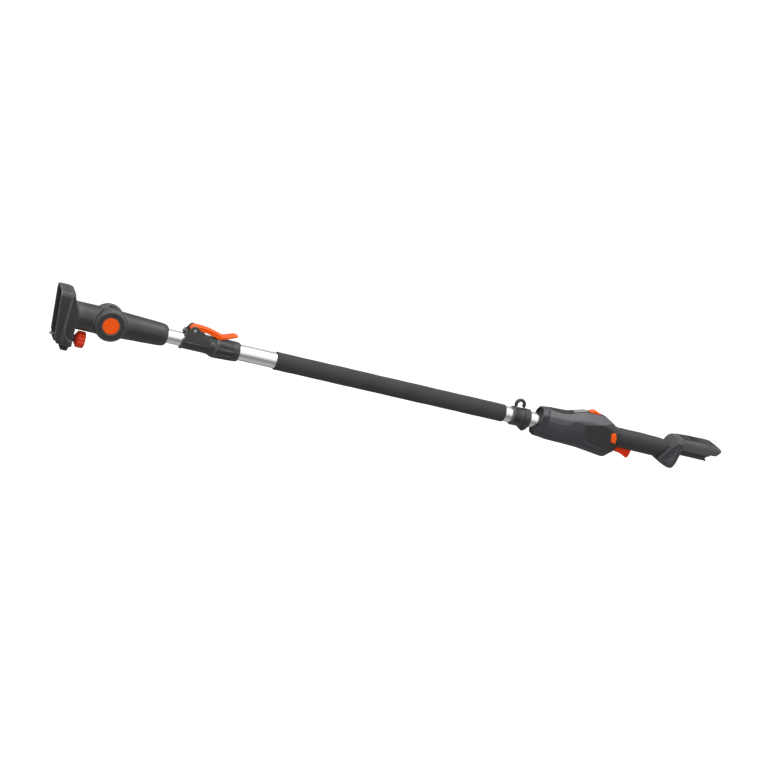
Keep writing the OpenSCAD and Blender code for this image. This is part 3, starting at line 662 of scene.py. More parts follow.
def outline_prism(points, near, far, ease=0.6, segments=3):
    """A side outline of (x, z) points, from y near to y far, with every edge rounded."""
    shape = bmesh.new()
    base = [shape.verts.new((x, near, z)) for x, z in points]
    top = [shape.verts.new((x, far, z)) for x, z in points]
    shape.faces.new(base)
    shape.faces.new(reversed(top))
    for i in range(len(points)):
        j = (i + 1) % len(points)
        shape.faces.new((base[j], base[i], top[i], top[j]))
    bmesh.ops.recalc_face_normals(shape, faces=shape.faces)
    corners = [e for e in shape.edges if e.calc_face_angle(0) > radians(26)]
    round_off(shape, corners, ease, segments)
    return shape


def arc(cx, cz, radius, start, end, steps=10):
    """Points of an arc in a side outline, from one angle to another in degrees."""
    return [(cx + radius * cos(radians(start + (end - start) * i / steps)),
             cz + radius * sin(radians(start + (end - start) * i / steps))) for i in range(steps + 1)]


ear = [(254.7, -1), (254.7, 11.4), (256.0, 18.6)] + arc(pivot_x, pivot_z, 8.4, 163, 38, 14)
ear += [(286, 25.6), (297, 18.2), (308.5, 10.6), (313.5, 4.5), (311, -1)]
for side, end, _ in both_sides:
    sides = sorted((side * ear_inner, side * ear_outer))
    build(f"{end}_ear", outline_prism(ear, *sides, ease=0.9), nylon, "handle", "dark_plastic",
          *(["clamp_body"] if side < 0 else []))

bell = [(clamp_start, 14.15), (clamp_start, 18.4), (clamp_start + 0.8, 19.0), (clamp_start + 2.6, 19.0),
        (clamp_start + 3.6, 17.6), (256.5, 17.4), (clamp_step - 6, 17.5), (clamp_step - 1, 18.2),
        (clamp_step + 5, 21.0), (collar_start - 1, 22.0), (collar_start, 22.0), (collar_start, 16.1),
        (outer_start + 0.05, 16.1), (outer_start + 0.05, 14.15)]
half_turn = []
for i in range(0, 97):
    a = radians(158 + 224 * i / 96)
    half_turn.append([Vector((x, r * cos(a), r * sin(a))) for x, r in bell])
build("clamp_shell", lofted(half_turn), nylon, "handle", "dark_plastic")
for side, end, _ in both_sides:
    wall = [(clamp_start + 3, 2), (254.6, 12.5), (262, 14.6), (300, 13.6), (308, 12),
            (collar_start - 1, 15.5), (collar_start - 1, 2)]
    cheek = outline_prism(wall, *sorted((side * 12.2, side * 16.6)), ease=0.5)
    build(f"clamp_wall_{end}", cheek, nylon, "handle", "dark_plastic")
    rib = outline_prism([(257.5, -0.9), (257.5, 0.9), (303, 0.9), (306, 0.3), (306, -0.3), (303, -0.9)],
                        *sorted((side * 16.9, side * 18.3)), ease=0.35)
    build(f"clamp_rib_{end}", rib, nylon, "handle", "dark_plastic")
    lobe = lofted([[Vector((312 + 9.0 * k * cos(t), side * (15.5 + 6.6 * sqrt(1 - k * k)),
                            2.0 + 10.4 * k * sin(t))) for t in round_angles(40)]
                            for k in (1.0, 0.9, 0.72, 0.5, 0.26, 0.06)])
    build(f"clamp_lobe_{end}", lobe, nylon, "handle", "dark_plastic")


deck = [(285, 11), (285, 15.6), (291, 16.6), (318.2, 17.2), (318.2, 11)]
build("clamp_deck", outline_prism(deck, -12.8, 12.8, ease=0.5), nylon, "handle", "dark_plastic")


def twelve_sided(x, across, panel_drop=0.0, steps=12):
    """A ring of the collar: twelve flats with rounded corners, each sunk by panel_drop, and a flat top."""
    ring = []
    for k in range(12):
        for i in range(steps):
            a = 2 * pi * (k + (i + 0.5) / steps) / 12
            from_middle = (i + 0.5) / steps - 0.5
            flat = across / cos(2 * pi * from_middle / 12)
            r = min(flat, across * 1.022)
            if abs(from_middle) < 0.33:
                r -= panel_drop * min(1, (0.33 - abs(from_middle)) / 0.05)
            y, z = r * cos(a), r * sin(a)
            ring.append(Vector((x, y, min(z, flat_top))))
    return ring


collar_form = [(collar_start, 21.4, 0), (collar_start + 0.8, 22.0, 0), (322, 22.2, 0), (326.2, 22.0, 0),
               (327.6, 21.9, 1.3), (340, 21.3, 1.3), (353, 20.8, 1.3), (354.6, 20.7, 0), (360, 20.4, 0),
               (365, 19.8, 0), (367.6, 19.0, 0), (368.7, 18.0, 0), (collar_end, 17.0, 0),
               (collar_end, 16.1, 0)]
collar = [twelve_sided(x, r, d) for x, r, d in collar_form]
collar.append([Vector((collar_start, p.y * 16.1 / 17, p.z * 16.1 / 17))
               for p in twelve_sided(collar_start, 17.0)])
build("clamp_collar_twelve_sided", lofted(collar, joined=True), nylon, "handle", "dark_plastic",
      "clamp_collar", crease=28)
dull_zinc = metal("dull_zinc", (0.2, 0.2, 0.205), (0.4, 0.55), lines=2400.0)
eased("clamp_band", "squeeze_band", dull_zinc, "handle", "steel", width=0.3)
eased("clamp_bolt", "squeeze_bolt", dull_zinc, "handle", "steel", width=0.35, segments=3)
eased("lever_pin", "lever_pivot", zinc, "handle", "steel", width=0.4, segments=3)
eased("clamp_shoe", "brake_shoe", dark_nylon, "handle", "black_plastic", width=0.3)

# The lever is one piece of tough orange nylon: a cam at the pivot, a crowned arm with a channel down each
# side, and a thumb plate that curls up at its end.
lever_half = 12.4
arm_line = [(263.4, 27.4, 24.4), (264.8, 31.2, 21.2), (268.5, 34.2, 19.6), (274, 35.6, 20.4),
            (282, 35.7, 23.6), (291, 35.2, 24.9), (300, 34.0, 23.6), (309, 32.2, 21.4), (317, 30.2, 19.0),
            (322, 28.6, 17.6), (326, 27.2, 18.2), (330, 26.8, 19.4), (338, 29.2, 22.2), (346, 32.2, 25.4),
            (352, 34.0, 28.0), (356.6, 33.8, 29.8), (358.8, 32.4, 30.6)]


def lever_ring(x, top, bottom, half):
    """A slice of the lever: crowned on top, with a channel sunk in each side of the arm."""
    arm = min(1.0, max(0.0, (x - 280) / 10)) * min(1.0, max(0.0, (322 - x) / 6))
    crown, depth = 1.4, top - bottom
    channel_high, channel_low = top - 0.34 * depth, top - 0.62 * depth
    sink = 1.5 * arm
    right = [(0, top), (half * 0.45, top - 0.18 * crown), (half * 0.78, top - 0.55 * crown),
             (half - 0.9, top - crown), (half - 0.15, top - crown - 0.7),
             (half, top - crown - 1.3 if depth > 4 else (top + bottom) / 2), (half, channel_high + 0.5),
             (half - sink, channel_high), (half - sink, channel_low), (half, channel_low - 0.5),
             (half, bottom + 0.9), (half - 0.3, bottom + 0.3), (half - 1.0, bottom), (half * 0.4, bottom)]
    level = [(y, max(bottom, min([top] + [lower for _, lower in right[:i + 1]])))
             for i, (y, _) in enumerate(right)]
    left = [(-y, z) for y, z in reversed(level[1:])]
    return [Vector((x, y, z)) for y, z in level + left]


lever_rings = []
for x, top, bottom in arm_line:
    narrow = 10.8 if x < 322 else 12.4
    half_here = lever_half if x < 272 or x > 330 else narrow + max(0, (x - 318) / 12) * 1.4
    half_here = min(lever_half, half_here)
    if x > 354:
        half_here -= (x - 354) ** 2 * 0.09
    lever_rings.append(lever_ring(x, top, bottom, half_here))
lever_rings = [lever_rings[0]] + lever_rings
lever_rings[0] = [Vector((p.x - 0.5, p.y * 0.94, 25.9 + (p.z - 25.9) * 0.4)) for p in lever_rings[1]]
lever_shape = lofted(lever_rings)
build("clamp_lever_arm", lever_shape, lever_orange, "cam_lever", "orange_plastic", "clamp_lever", crease=42)


# ---- Strap clamp ----
# A split ring of black nylon on a grey liner, with a closed eye on top for a carrying strap. A screw
# through the two lugs underneath draws it tight round the outer tube.
strap_start, strap_end = ends("strap_clamp")
eye_x, eye_z = 975.6, 26.4
black_nylon = moulded("strap_nylon", (0.02, 0.02, 0.0205), (0.085, 0.085, 0.085), rough=(0.3, 0.44))
liner_grey = moulded("liner_grey", (0.09, 0.09, 0.093), (0.2, 0.2, 0.2), rough=(0.45, 0.6))
strap_ring = [(strap_start, 17.3), (strap_start, 19.3), (strap_start + 0.7, 20.0),
              (strap_start + 2.2, 20.2), (strap_start + 3.0, 19.7), (strap_start + 10, 19.6),
              (986.3, 19.6), (987.0, 18.7), (988.6, 18.7), (989.2, 19.9), (990.2, 20.4), (991.6, 20.5),
              (strap_end - 1.2, 20.3), (strap_end - 0.3, 19.8), (strap_end, 19.0), (strap_end, 17.3)]
gap_half = asin(1.1 / 20)
ring_turn = []
for i in range(121):
    a = -pi / 2 + gap_half + (2 * pi - 2 * gap_half) * i / 120
    ring_turn.append([Vector((x, r * cos(a), r * sin(a))) for x, r in strap_ring])
build("strap_ring_body", lofted(ring_turn), black_nylon, "strap_ring", "black_plastic", "strap_clamp")


def blunt(wave, power):
    """A sine or cosine raised to a power, with its sign kept."""
    return abs(wave) ** power * (1 if wave > 0 else -1)


eye_middle, eye_thick, eye_wide = 8.9, 3.3, 3.7
eye = []
for i in range(41):
    a = radians(-34 + 248 * i / 40)
    around = []
    for b in round_angles(20):
        r = eye_middle + eye_thick * blunt(cos(b), 0.7)
        around.append(Vector((eye_x + r * cos(a), eye_wide * blunt(sin(b), 0.7), eye_z + r * sin(a))))
    eye.append(around)
build("strap_eye", lofted(eye), black_nylon, "strap_ring", "black_plastic", crease=60)
for side, end, _ in both_sides:
    lug = [(983.6, -18.0), (983.8, -21.6)]
    lug += arc(992.5, -20.4, 5.8, 215, 325, 8) + [(1001.2, -21.6), (1001.4, -18.0)]
    build(f"strap_lug_{end}", outline_prism(lug, *sorted((side * 1.2, side * 7.5)), ease=0.7),
          black_nylon, "strap_ring", "black_plastic")
eased("strap_screw", "strap_draw_screw", dark_nylon, "strap_ring", "steel", width=0.35, segments=3)
eased("strap_liner", "strap_liner_sleeve", liner_grey, "strap_carrier", "grey_plastic", width=0.4,
      segments=3)


# ---- Power unit shells ----
# Two halves of slate-grey nylon, screwed together along the middle, hold the switch and the circuit board.
# The form is faceted with soft corners, and its mouth slants round the end of the outer tube.
# Sections of the form, in millimetres: x, bottom, top, half width, bottom chamfer, top chamfer.
unit_sections = [(1006, -27.4, 29.3, 21.4, 12, 11), (1045, -31, 33, 25, 9, 12),
                 (1084, -31.5, 34, 26.5, 9, 12), (1118, -33, 44.5, 27, 10, 16),
                 (1158, -38, 44.5, 28, 12, 16), (1172, -40, 40.8, 28, 13, 15),
                 (1184, -41, 34.5, 27, 14, 14), (1196, -33, 27.5, 20, 12, 12),
                 (1204, -27, 24.5, 17.0, 11, 11)]
unit_end = 1204.0
mouth_x, mouth_slant = 1020.6, 0.13


def unit_at(x, window=5.0):
    """Bottom, top, half width and the two chamfers of the form at x, eased over a short window."""
    total = [0.0] * 5
    places = [x + window * (i / 4 - 1) for i in range(9)]
    for at in places:
        at = min(max(at, unit_sections[0][0]), unit_sections[-1][0])
        for here, there in zip(unit_sections, unit_sections[1:]):
            if here[0] <= at <= there[0]:
                share = (at - here[0]) / (there[0] - here[0])
                total = [t + a + (b - a) * share for t, a, b in zip(total, here[1:], there[1:])]
                break
    return [t / len(places) for t in total]


def unit_ring(x, inset=0.0, corner=3.0, steps=4, at=None):
    """A slice of the form: eight flats with rounded corners. x may be a function of the point's height."""
    bottom, top, half, low_cut, high_cut = unit_at(x if at is None else at)
    half, bottom, top = half - inset, bottom + inset, top - inset
    low_cut, high_cut = low_cut - inset * 0.6, high_cut - inset * 0.6
    points = [(half, top - high_cut), (half - high_cut, top), (high_cut - half, top),
              (-half, top - high_cut), (-half, bottom + low_cut), (low_cut - half, bottom),
              (half - low_cut, bottom), (half, bottom + low_cut)]
    ring = []
    for i, point in enumerate(points):
        here, before, after = Vector(point), Vector(points[i - 1]), Vector(points[(i + 1) % 8])
        reach = min(corner, (before - here).length * 0.45, (after - here).length * 0.45)
        start, end = here + (before - here).normalized() * reach, here + (after - here).normalized() * reach
        for k in range(steps + 1):
            t = k / steps
            p = start * (1 - t) ** 2 + here * 2 * t * (1 - t) + end * t * t
            ring.append(Vector((x(p.y) if callable(x) else x, p.x, p.y)))
    return ring


def unit_form(inset=0.0, start=0.0, end=unit_end, corner=3.0):
    """The closed form of the power unit, inset millimetres in, from start millimetres behind its mouth."""
    def lip(z):
        return mouth_x + mouth_slant * z + start
    rings = [unit_ring(lambda z, s=s: lip(z) + (1032 - lip(z)) * s, inset, corner,
                       at=mouth_x + start + (1032 - mouth_x) * s) for s in (0.0, 0.33, 0.66)]
    slices = 43
    rings += [unit_ring(1032 + (end - 1032) * i / slices, inset, corner) for i in range(slices + 1)]
    return lofted(rings)


def carve(shape, tool, operation="DIFFERENCE"):
    """One mesh cut by another, or kept only within it. Both are used up."""
    holders = []
    for part in (shape, tool):
        bmesh.ops.recalc_face_normals(part, faces=part.faces)
        mesh = bpy.data.meshes.new("blank")
        part.to_mesh(mesh)
        part.free()
        holder = bpy.data.objects.new("blank", mesh)
        bpy.context.scene.collection.objects.link(holder)
        holders.append(holder)
    cutter = holders[0].modifiers.new("cut", "BOOLEAN")
    cutter.object, cutter.operation, cutter.solver = holders[1], operation, "EXACT"
    worked = holders[0].evaluated_get(bpy.context.evaluated_depsgraph_get())
    result = bmesh.new()
    result.from_mesh(worked.to_mesh())
    for holder in holders:
        bpy.data.objects.remove(holder)
    return result


def grown(points, by):
    """An outline moved outwards by some millimetres, with its corners kept."""
    area = sum(a[0] * b[1] - b[0] * a[1] for a, b in zip(points, points[1:] + points[:1]))
    turn = 1 if area > 0 else -1
    moved = []
    for i, point in enumerate(points):
        here, before, after = Vector(point), Vector(points[i - 1]), Vector(points[(i + 1) % len(points)])
        one, two = (here - before).normalized(), (after - here).normalized()
        out = Vector((one.y + two.y, -one.x - two.x)).normalized() * turn
        moved.append(tuple(here + out * by / max(0.4, (out * turn).dot(Vector((one.y, -one.x))))))
    return moved


def softened(shape, width=0.35, segments=2, sharp=30):
    """Rounds the sharp edges that cutting has left."""
    bmesh.ops.remove_doubles(shape, verts=shape.verts, dist=0.01)
    bmesh.ops.dissolve_limit(shape, angle_limit=radians(0.05), verts=shape.verts, edges=shape.edges)
    corners = [e for e in shape.edges if len(e.link_faces) == 2 and e.calc_face_angle(0) > radians(sharp)]
    round_off(shape, corners, width, segments, clamp=False)
    return shape


def plan_prism(points, low_z=-80, high_z=80):
    """An outline of (x, y) points in plan, drawn up through the whole unit."""
    return lofted([[Vector((x, y, z)) for x, y in points] for z in (low_z, high_z)])


def side_prism(points, near, far):
    """A plain prism of a side outline, used only to cut with."""
    return lofted([[Vector((x, y, z)) for x, z in points] for y in (near, far)])


panel_outline = [(1037.5, 10.6), (1065, 9.6), (1077, 9.9), (1082.5, 12.0), (1089, 17), (1094.5, 21.6),
                 (1100, 23.6), (1106.5, 23.2), (1120.4, 20.2), (1144.7, 25.6), (1179.4, 33.1), (1183, 40),
                 (1183, 60), (1042.5, 60)]
insert_outline = [(1121.1, 15.4), (1119.7, 18.4), (1120.9, 20.4), (1144.7, 25.6), (1179.4, 33.1),
                  (1188.6, 25.4), (1195, 22.0), (1203.5, 20.4), (1203.5, -18.0), (1195, -21.0),
                  (1187.0, -24.4), (1134.2, -13.0), (1130.4, -11.4), (1127.2, -8.1)]
band_outline = [(1042, 11.0), (1050, 14.2), (1068, 15.6), (1084, 14.6), (1098, 11.8), (1112, 10.6),
                (1150, 10.2), (1184, 10.6)]
seam = 0.3

slate = moulded("slate_nylon", (0.034, 0.0362, 0.042), (0.13, 0.135, 0.145), rough=(0.3, 0.42),
                depth=0.00002, mottle=0.08, reach=4.0)
panel_grey = moulded("panel_grey", (0.092, 0.094, 0.101), (0.26, 0.265, 0.275), rough=(0.4, 0.52),
                     depth=0.000035, reach=4.0)
cover_black = moulded("cover_black", (0.017, 0.0175, 0.019), (0.09, 0.092, 0.098), rough=(0.5, 0.62),
                      grains=1900, depth=0.00006, reach=4.0, Specular_IOR_Level=0.35)


def band_plan(by):
    """The top band in plan, grown by some millimetres."""
    edge = [(x, y + by) for x, y in band_outline]
    edge[0], edge[-1] = (edge[0][0] - by, edge[0][1]), (edge[-1][0] + by, edge[-1][1])
    return edge + [(x, -y) for x, y in reversed(edge)]


band_floor = 27.0
body = unit_form()
for outline in (panel_outline, insert_outline):
    for depths in ((-60, -9.0), (9.0, 60)):
        body = carve(body, side_prism(grown(outline, seam), *depths))
body = carve(body, plan_prism(band_plan(seam), band_floor, 80))
hollow = lofted([unit_ring(lambda z, s=s: mouth_x + mouth_slant * z + s, 3.0, 3.0, at=1024)
                 for s in (-12, 5.2)])
body = carve(body, hollow)
for side, end, hand in both_sides:
    half_shell = body.copy()
    cut_faces = half_shell.verts[:] + half_shell.edges[:] + half_shell.faces[:]
    bmesh.ops.bisect_plane(half_shell, geom=cut_faces, plane_co=(0, side * 0.12, 0),
                           plane_no=(0, -side, 0), clear_outer=True)
    bmesh.ops.holes_fill(half_shell, edges=[e for e in half_shell.edges if len(e.link_faces) == 1], sides=0)
    build(f"shell_{end}", softened(half_shell), slate, "handle", "slate_plastic", f"housing_{hand}")
body.free()

# The grey side panels and the black top band are snapped in over the shells.
for side, end, hand in both_sides:
    panel = carve(unit_form(), side_prism(panel_outline, *sorted((side * 60, side * 4))), "INTERSECT")
    panel = carve(panel, side_prism(grown(insert_outline, seam), -60, 60))
    panel = carve(panel, plan_prism(band_plan(seam)))
    panel = carve(panel, unit_form(inset=2.4))
    build(f"panel_{end}", panel, panel_grey, "handle", "grey_plastic", f"side_panel_{hand}", crease=28)
band = carve(unit_form(), plan_prism(band_plan(0), band_floor, 80), "INTERSECT")
band = carve(band, unit_form(inset=2.4))
band = carve(band, side_prism([(1127.5, 20), (1127.5, 60), (1155, 60), (1155, 20)], -8.6, 8.6))
build("top_band", band, cover_black, "handle", "black_plastic", "top_cover", crease=28)


def side_of_unit(x, z):
    """How far the form's side stands out at a point of its side view."""
    bottom, top, half, low_cut, high_cut = unit_at(x)
    return half - max(0.0, bottom + low_cut - z) - max(0.0, z - (top - high_cut))


# The side inserts are soft black rubber with fine arched ribs.
rubber_black = moulded("insert_rubber", (0.022, 0.022, 0.0225), (0.06, 0.06, 0.06), rough=(0.5, 0.64),
                       depth=0.00003, mottle=0.1)
rib_centre, rib_pitch, rib_height = (1262.0, 4.0), 2.3, 0.32
lock_outline = [(1180, 15), (1190, 17.5), (1195, 9), (1196, -5), (1185.5, -3)]


def ribbed_insert(side):
    """A slab that follows the unit's side, with arched ribs on its face, cut to the insert's outline."""
    step = 0.62
    xs = [1117 + step * i for i in range(int(86 / step))]
    zs = [-27 + step * i for i in range(int(63 / step))]
    slab = bmesh.new()
    faces = []
    for depth in (0.0, -2.2):
        rows = []
        for x in xs:
            row = []
            for z in zs:
                away = sqrt((x - rib_centre[0]) ** 2 + (z - rib_centre[1]) ** 2)
                ripple = rib_height * max(0.0, sin(2 * pi * away / rib_pitch))
                y = side_of_unit(x, z) + (ripple - 0.22 if depth == 0 else depth)
                row.append(slab.verts.new((x, side * y, z)))
            rows.append(row)
        faces.append(rows)
        for a, b in zip(rows, rows[1:]):
            for j in range(len(zs) - 1):
                slab.faces.new((a[j], b[j], b[j + 1], a[j + 1]))
    front, rear = faces
    edge = ([(i, 0) for i in range(len(xs) - 1)] + [(len(xs) - 1, j) for j in range(len(zs) - 1)]
            + [(i, len(zs) - 1) for i in range(len(xs) - 1, 0, -1)]
            + [(0, j) for j in range(len(zs) - 1, 0, -1)])
    for (i, j), (k, m) in zip(edge, edge[1:] + edge[:1]):
        slab.faces.new((front[i][j], front[k][m], rear[k][m], rear[i][j]))
    bmesh.ops.recalc_face_normals(slab, faces=slab.faces)
    slab = carve(slab, side_prism(insert_outline, -60, 60), "INTERSECT")
    return carve(slab, side_prism(grown(lock_outline, 0.6), -60, 60))


for side, end, hand in both_sides:
    build(f"insert_{end}", ribbed_insert(side), rubber_black, "handle", "black_plastic",
          f"side_insert_{hand}", crease=50)
for _, end, hand in both_sides:
    eased(f"lock_off_{hand}", f"lock_button_{end}", lever_orange, f"lock_{hand}", "orange_plastic",
          width=0.9, segments=4)
window_grey = moulded("window_grey", (0.2, 0.2, 0.205), (0.3, 0.3, 0.3), rough=(0.2, 0.3), depth=0.00001)
eased("top_pad", "status_window", window_grey, "handle", "grey_plastic", width=0.5, segments=3)
eased("power_rocker", "rocker_cap", lever_orange, "rocker", "orange_plastic", width=0.7, segments=3)
eased("front_plate", "mouth_plate", panel_grey, "handle", "grey_plastic", width=0.4)


# ---- Trigger ----
# A curved lever of red nylon under the grip. It turns on a steel pin in the shells, and a spring returns it.
trigger_half = 6.4
trigger_outline = [(1207.4, -8), (1209, -3.4), (1212.5, -2.2), (1218, -3.6), (1243, -9.2), (1245, -13),
                   (1244.9, -18), (1243.8, -25.0), (1242.2, -30.4), (1240.2, -32.8), (1237.4, -33.2),
                   (1233.6, -31.8), (1228.6, -29.2), (1222.5, -26.9), (1216, -25.6), (1209, -25.3),
                   (1207.4, -24.4)]
trigger_red = moulded("trigger_red", (0.72, 0.03, 0.002), (0.85, 0.09, 0.02), rough=(0.28, 0.4),
                      depth=0.000015, mottle=0.05, reach=0.12, Specular_IOR_Level=0.22)
build("trigger_lever", outline_prism(trigger_outline, -trigger_half, trigger_half, ease=1.8, segments=4),
      trigger_red, "trigger_lever", "red_plastic", "trigger", crease=45)


# ---- Grip ----
# A sleeve of soft rubber moulded over the shells' rear tube, with fine curved ribs all along it. It grows
# from the power unit in a smooth neck and is a little slimmer towards the guard.
grip_end = ends("grip_sleeve")[1]
grip_half = 16.8
grip_rubber = moulded("grip_rubber", (0.026, 0.026, 0.0265), (0.075, 0.075, 0.076), rough=(0.46, 0.6),
                      depth=0.00003, mottle=0.1)
grip_line = [(1195, 26.5, -19), (1204, 25.6, -17.2), (1222, 25.2, -16.2), (1256, 25.4, -16.4),
             (1291, 24.4, -16.5), (1333, 21.4, -16.4)]


def grip_ring(x, points=112):
    """A slice of the grip, higher than wide, with the curved ribs standing on it."""
    x = min(x, grip_end)
    for here, there in zip(grip_line, grip_line[1:]):
        if here[0] <= x <= there[0]:
            share = (x - here[0]) / (there[0] - here[0])
            share = share * share * (3 - 2 * share)
            top, bottom = (a + (b - a) * share for a, b in zip(here[1:], there[1:]))
            break
    middle, tall = (top + bottom) / 2, (top - bottom) / 2
    flare = 1 + 0.1 * max(0.0, (1212 - x) / 14) ** 2
    fade = min(1.0, max(0.0, (x - 1206) / 8)) * min(1.0, max(0.0, (grip_end - 6 - x) / 3))
    ring = []
    for a in round_angles(points):
        y = grip_half * flare * blunt(cos(a), 0.86)
        z = tall * blunt(sin(a), 0.94)
        bow = 4.5 * (1 - (z / tall) ** 2)
        ripple = fade * 0.34 * max(0.0, sin(2 * pi * (x + bow) / 2.5))
        scale = 1 + (ripple - 0.2) / grip_half
        ring.append(Vector((x, y * scale, middle + z * scale)))
    return ring


grip_slices = 217
grip_rings = [grip_ring(1195 + (grip_end - 1195) * i / grip_slices) for i in range(grip_slices + 1)]
grip_end_rings = [[Vector((grip_end + d, p.y * s, 2.5 + (p.z - 2.5) * s)) for p in grip_rings[-1]] for d,
                  s in ((-0.2, 0.985), (0, 0.94))]
grip_shape = carve(lofted(grip_rings[:-1] + grip_end_rings),
                   side_prism([(1199, -40), (1199, -5), (1249, -12), (1249, -40)], -7.0, 7.0))
build("grip_rubber_sleeve", grip_shape, grip_rubber, "handle", "grip_rubber", "grip_sleeve", crease=48)


# ---- Rear guard ----
# A deep collar of slate nylon behind the hand, where the grip meets the battery dock. Its front leans away
# from the hand, and each side has a sunk, glossier panel.
guard_outline = [(1337.6, 36), (1332.6, 31), (1307.2, -11.6), (1305.4, -15.4), (1305.2, -19.8),
                 (1310, -23.6), (1320, -27.8), (1330, -31.6), (1336, -33), (1341, -33), (1344.4, -30.8),
                 (1347, -18), (1348, 2), (1348, 36.1)]
guard_half = 29.4
dock_grey = moulded("dock_grey", (0.066, 0.067, 0.073), (0.22, 0.225, 0.235), rough=(0.34, 0.46),
                    depth=0.00003, reach=4.0)
gloss_slate = moulded("gloss_slate", (0.028, 0.030, 0.036), (0.1, 0.105, 0.115), rough=(0.16, 0.26),
                      depth=0.00001, mottle=0.08)


def guard_section(x, inset=0.0):
    """The collar from behind: wide at the top, narrowing below the grip to a rounded foot."""
    ring = pad_ring(x, guard_half - inset, -33, 36.2, 12.5, 12)
    for point in ring:
        below = min(1.0, max(0.0, (12 - point.z) / 45))
        point.y *= 1 - 0.42 * below * below * (3 - 2 * below)
    return ring


def guard_block(inset=0.0, start=1300, end=1352):
    """The collar's section drawn along the pole, to cut with."""
    return lofted([guard_section(x, inset) for x in (start, end)])


guard = carve(side_prism(guard_outline, -guard_half, guard_half), guard_block(), "INTERSECT")
sunk = [(1337.6, 24.5), (1330.5, 18.5), (1313.2, -10.5), (1312.6, -16.4), (1320, -20.4), (1331, -25.6),
        (1338.4, -27.4), (1340.6, -16), (1341.6, 4), (1341.2, 22)]
sunk_form = carve(guard_block(-6.0), guard_block(1.6, 1296, 1356))
guard = carve(guard, carve(sunk_form, side_prism(sunk, -60, 60), "INTERSECT"))
build("guard_collar", softened(guard, width=1.3, segments=3, sharp=34), dock_grey, "handle",
      "slate_plastic", "rear_guard")
for side, end, _ in both_sides:
    sides = sorted((side * 8, side * 60))
    plate = carve(guard_block(1.0), side_prism(grown(sunk, -0.5), *sides), "INTERSECT")
    build(f"guard_panel_{end}", plate, gloss_slate, "handle", "slate_plastic")
    blade = [(1333.5, 17), (1335.6, 18), (1318.5, -17.5), (1316.2, -17.0), (1316.4, -13.5)]
    rib = carve(guard_block(0.3), side_prism(blade, *sides), "INTERSECT")
    build(f"guard_rib_{end}", rib, slate, "handle", "slate_plastic")
pin_rings = [[Vector((1322 + r * cos(a), -y, 21.8 - 6 + r * sin(a))) for a in round_angles(32)]
             for y, r in ((14.5, 2.4), (17.2, 2.4), (17.7, 2.0), (17.8, 1.2))]
build("grip_end_pin", lofted(pin_rings), panel_grey, "handle", "grey_plastic")


# ---- Battery dock ----
# A hood of grey nylon with a black textured lid, open underneath, where a slide-on battery runs on two
# rails until its latch snaps in behind the lid's end.
dock_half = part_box("dock_cover")[1].y * 1000
dock_outline = [(1346, 14), (1346, 36.2), (1362, 37.4), (1381, 38.6), (1411, 39.3), (1422, 38.9),
                (1428, 37.6), (1434, 34.2), (1437.6, 30.4), (1437.9, 28.8), (1434.5, 24.6), (1428, 18.2),
                (1412.6, 17), (1412, 14)]
dock_section = [(dock_half - 0.6, 10), (dock_half, 16), (dock_half - 0.2, 30.5), (dock_half - 1.4, 33.5),
                (dock_half - 4.2, 36.6), (dock_half - 7.5, 39.4), (dock_half - 9, 41),
                (9 - dock_half, 41), (7.5 - dock_half, 39.4), (4.2 - dock_half, 36.6),
                (1.4 - dock_half, 33.5), (0.2 - dock_half, 30.5), (-dock_half, 16), (0.6 - dock_half, 10)]
hood_form = lofted([[Vector((x, y * w, z)) for y, z in dock_section] for x,
                    w in ((1340, 1.0), (1420, 1.0), (1432, 0.96), (1440, 0.9))])
hood = carve(side_prism(dock_outline, -dock_half, dock_half), hood_form, "INTERSECT")
room_inside = [(1351, 8), (1351, 32), (1381, 35), (1411, 36), (1422, 34), (1422, 20), (1412, 17), (1412, 8)]
hood = carve(hood, side_prism(room_inside, 3.5 - dock_half, dock_half - 3.5))
lid_outline = [(1350, 34.4), (1350, 44), (1429.5, 44), (1429.5, 35.2), (1411, 37.9), (1381, 37.2)]
hood = carve(hood, side_prism(lid_outline, 6.6 - dock_half, dock_half - 6.6))
build("dock_hood", softened(hood, width=0.7, segments=3, sharp=32), dock_grey, "handle", "grey_plastic",
      "dock_cover")
lid_line = [(1350.4, 36.3), (1362, 37.3), (1381, 38.5), (1411, 39.2), (1422, 38.8), (1429, 37.3)]
lid_lower = [(x, z - 2.4) for x, z in reversed(lid_line)]
lid = outline_prism(lid_line + lid_lower, 6.9 - dock_half, dock_half - 6.9, ease=0.35, segments=2)
build("dock_lid", lid, cover_black, "handle", "black_plastic")
for i in range(9):
    x = 1372 + i * 3.2
    rung = outline_prism([(x, 38.0), (x + 0.2, 38.95 - abs(i - 4) * 0.02), (x + 1.2, 38.98),
                          (x + 1.4, 38.0)], -13, 13, ease=0.15, segments=1)
    build(f"lid_ridge_{i}", rung, cover_black, "handle", "black_plastic")
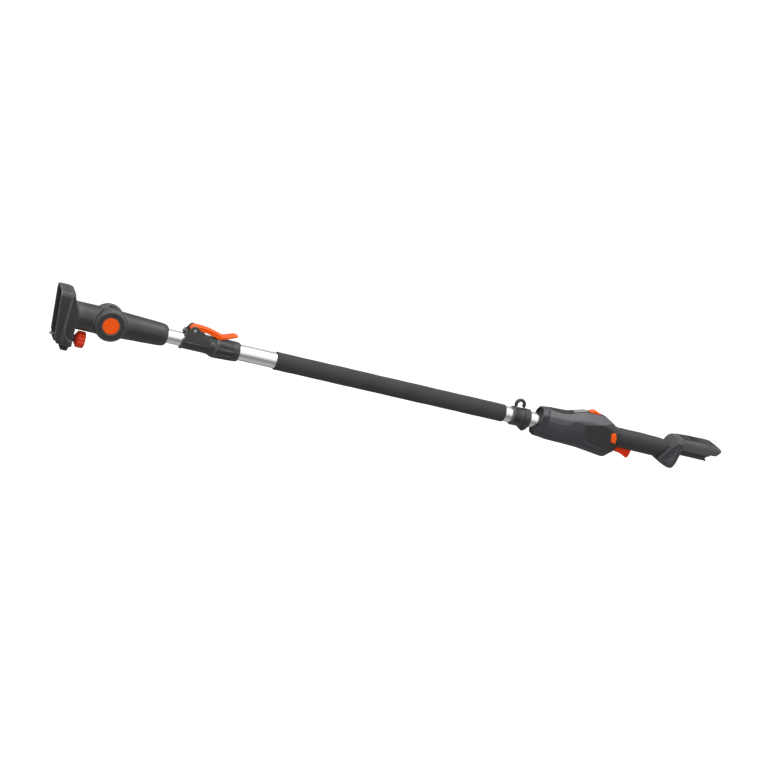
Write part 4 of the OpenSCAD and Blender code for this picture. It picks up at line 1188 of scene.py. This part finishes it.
latch = [[Vector((1409 + k * 6.5 * cos(a), k * 11 * sin(a), 38.6 + h)) for a in round_angles(48)]
         for k, h in ((1.0, 0.0), (0.97, 0.55), (0.9, 0.78), (0.8, 0.7), (0.74, 0.45), (0.3, 0.42))]
build("dock_latch_button", lofted(latch), dock_grey, "handle", "grey_plastic")
eased("dock_rails", "battery_rails", slate, "handle", "slate_plastic", width=0.5, segments=3)
eased("terminal_block", "terminal_carrier", dark_nylon, "handle", "black_plastic", width=0.35)


# ---- Parts inside ----
# Fasteners, springs, contacts and the electrical parts keep their exact forms. They show only in gaps, in
# the socket's mouth and when the dock is seen from below.
brass = metal("contact_brass", (0.72, 0.56, 0.26), (0.25, 0.4), lines=3200.0)
acetal = moulded("natural_acetal", (0.62, 0.62, 0.6), (0.75, 0.75, 0.73), rough=(0.3, 0.45))
lacquer = moulded("board_lacquer", (0.015, 0.1, 0.045), (0.1, 0.3, 0.15), rough=(0.2, 0.35), grains=1400,
                  mottle=0.3)
cable = moulded("cable_sheath", (0.02, 0.02, 0.02), (0.06, 0.06, 0.06), rough=(0.4, 0.55), depth=0.00002)
inside_coats = [(zinc, ["head_screws", "elbow_axle", "lock_plate", "thumb_bolt", "detent_ring",
                        "boot_screws", "pivot_pins"]), (brass, ["contact_pins", "terminal_blades"]),
                        (acetal, ["guide_bush"]), (lacquer, ["circuit_board"]), (cable, ["power_lead"]),
                        (dark_nylon, ["tube_socket", "switch_module", "housing_screws"])]
for coat, names in inside_coats:
    for name in names:
        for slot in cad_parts[name].material_slots:
            slot.material = coat

# The two springs, which shorten under their button and trigger, get meshes of their own; the coiled lead,
# which stretches with the inner pole, is freed from its body with its place baked into its mesh.
button_coil = eased("button_spring", "button_coil", zinc, "head", "steel", width=0.02, segments=1, sharp=85)
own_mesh(button_coil)
trigger_coil = eased("trigger_spring", "trigger_coil", zinc, "handle", "steel", width=0.02, segments=1,
                     sharp=85)
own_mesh(trigger_coil)
curly_lead = eased("coiled_lead", "curly_lead", cable, "handle", "black_plastic", width=0.02, segments=1,
                   sharp=85)
rest_place = curly_lead.matrix_world.copy()
curly_lead.parent = None
curly_lead.matrix_world = rest_place
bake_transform(curly_lead)
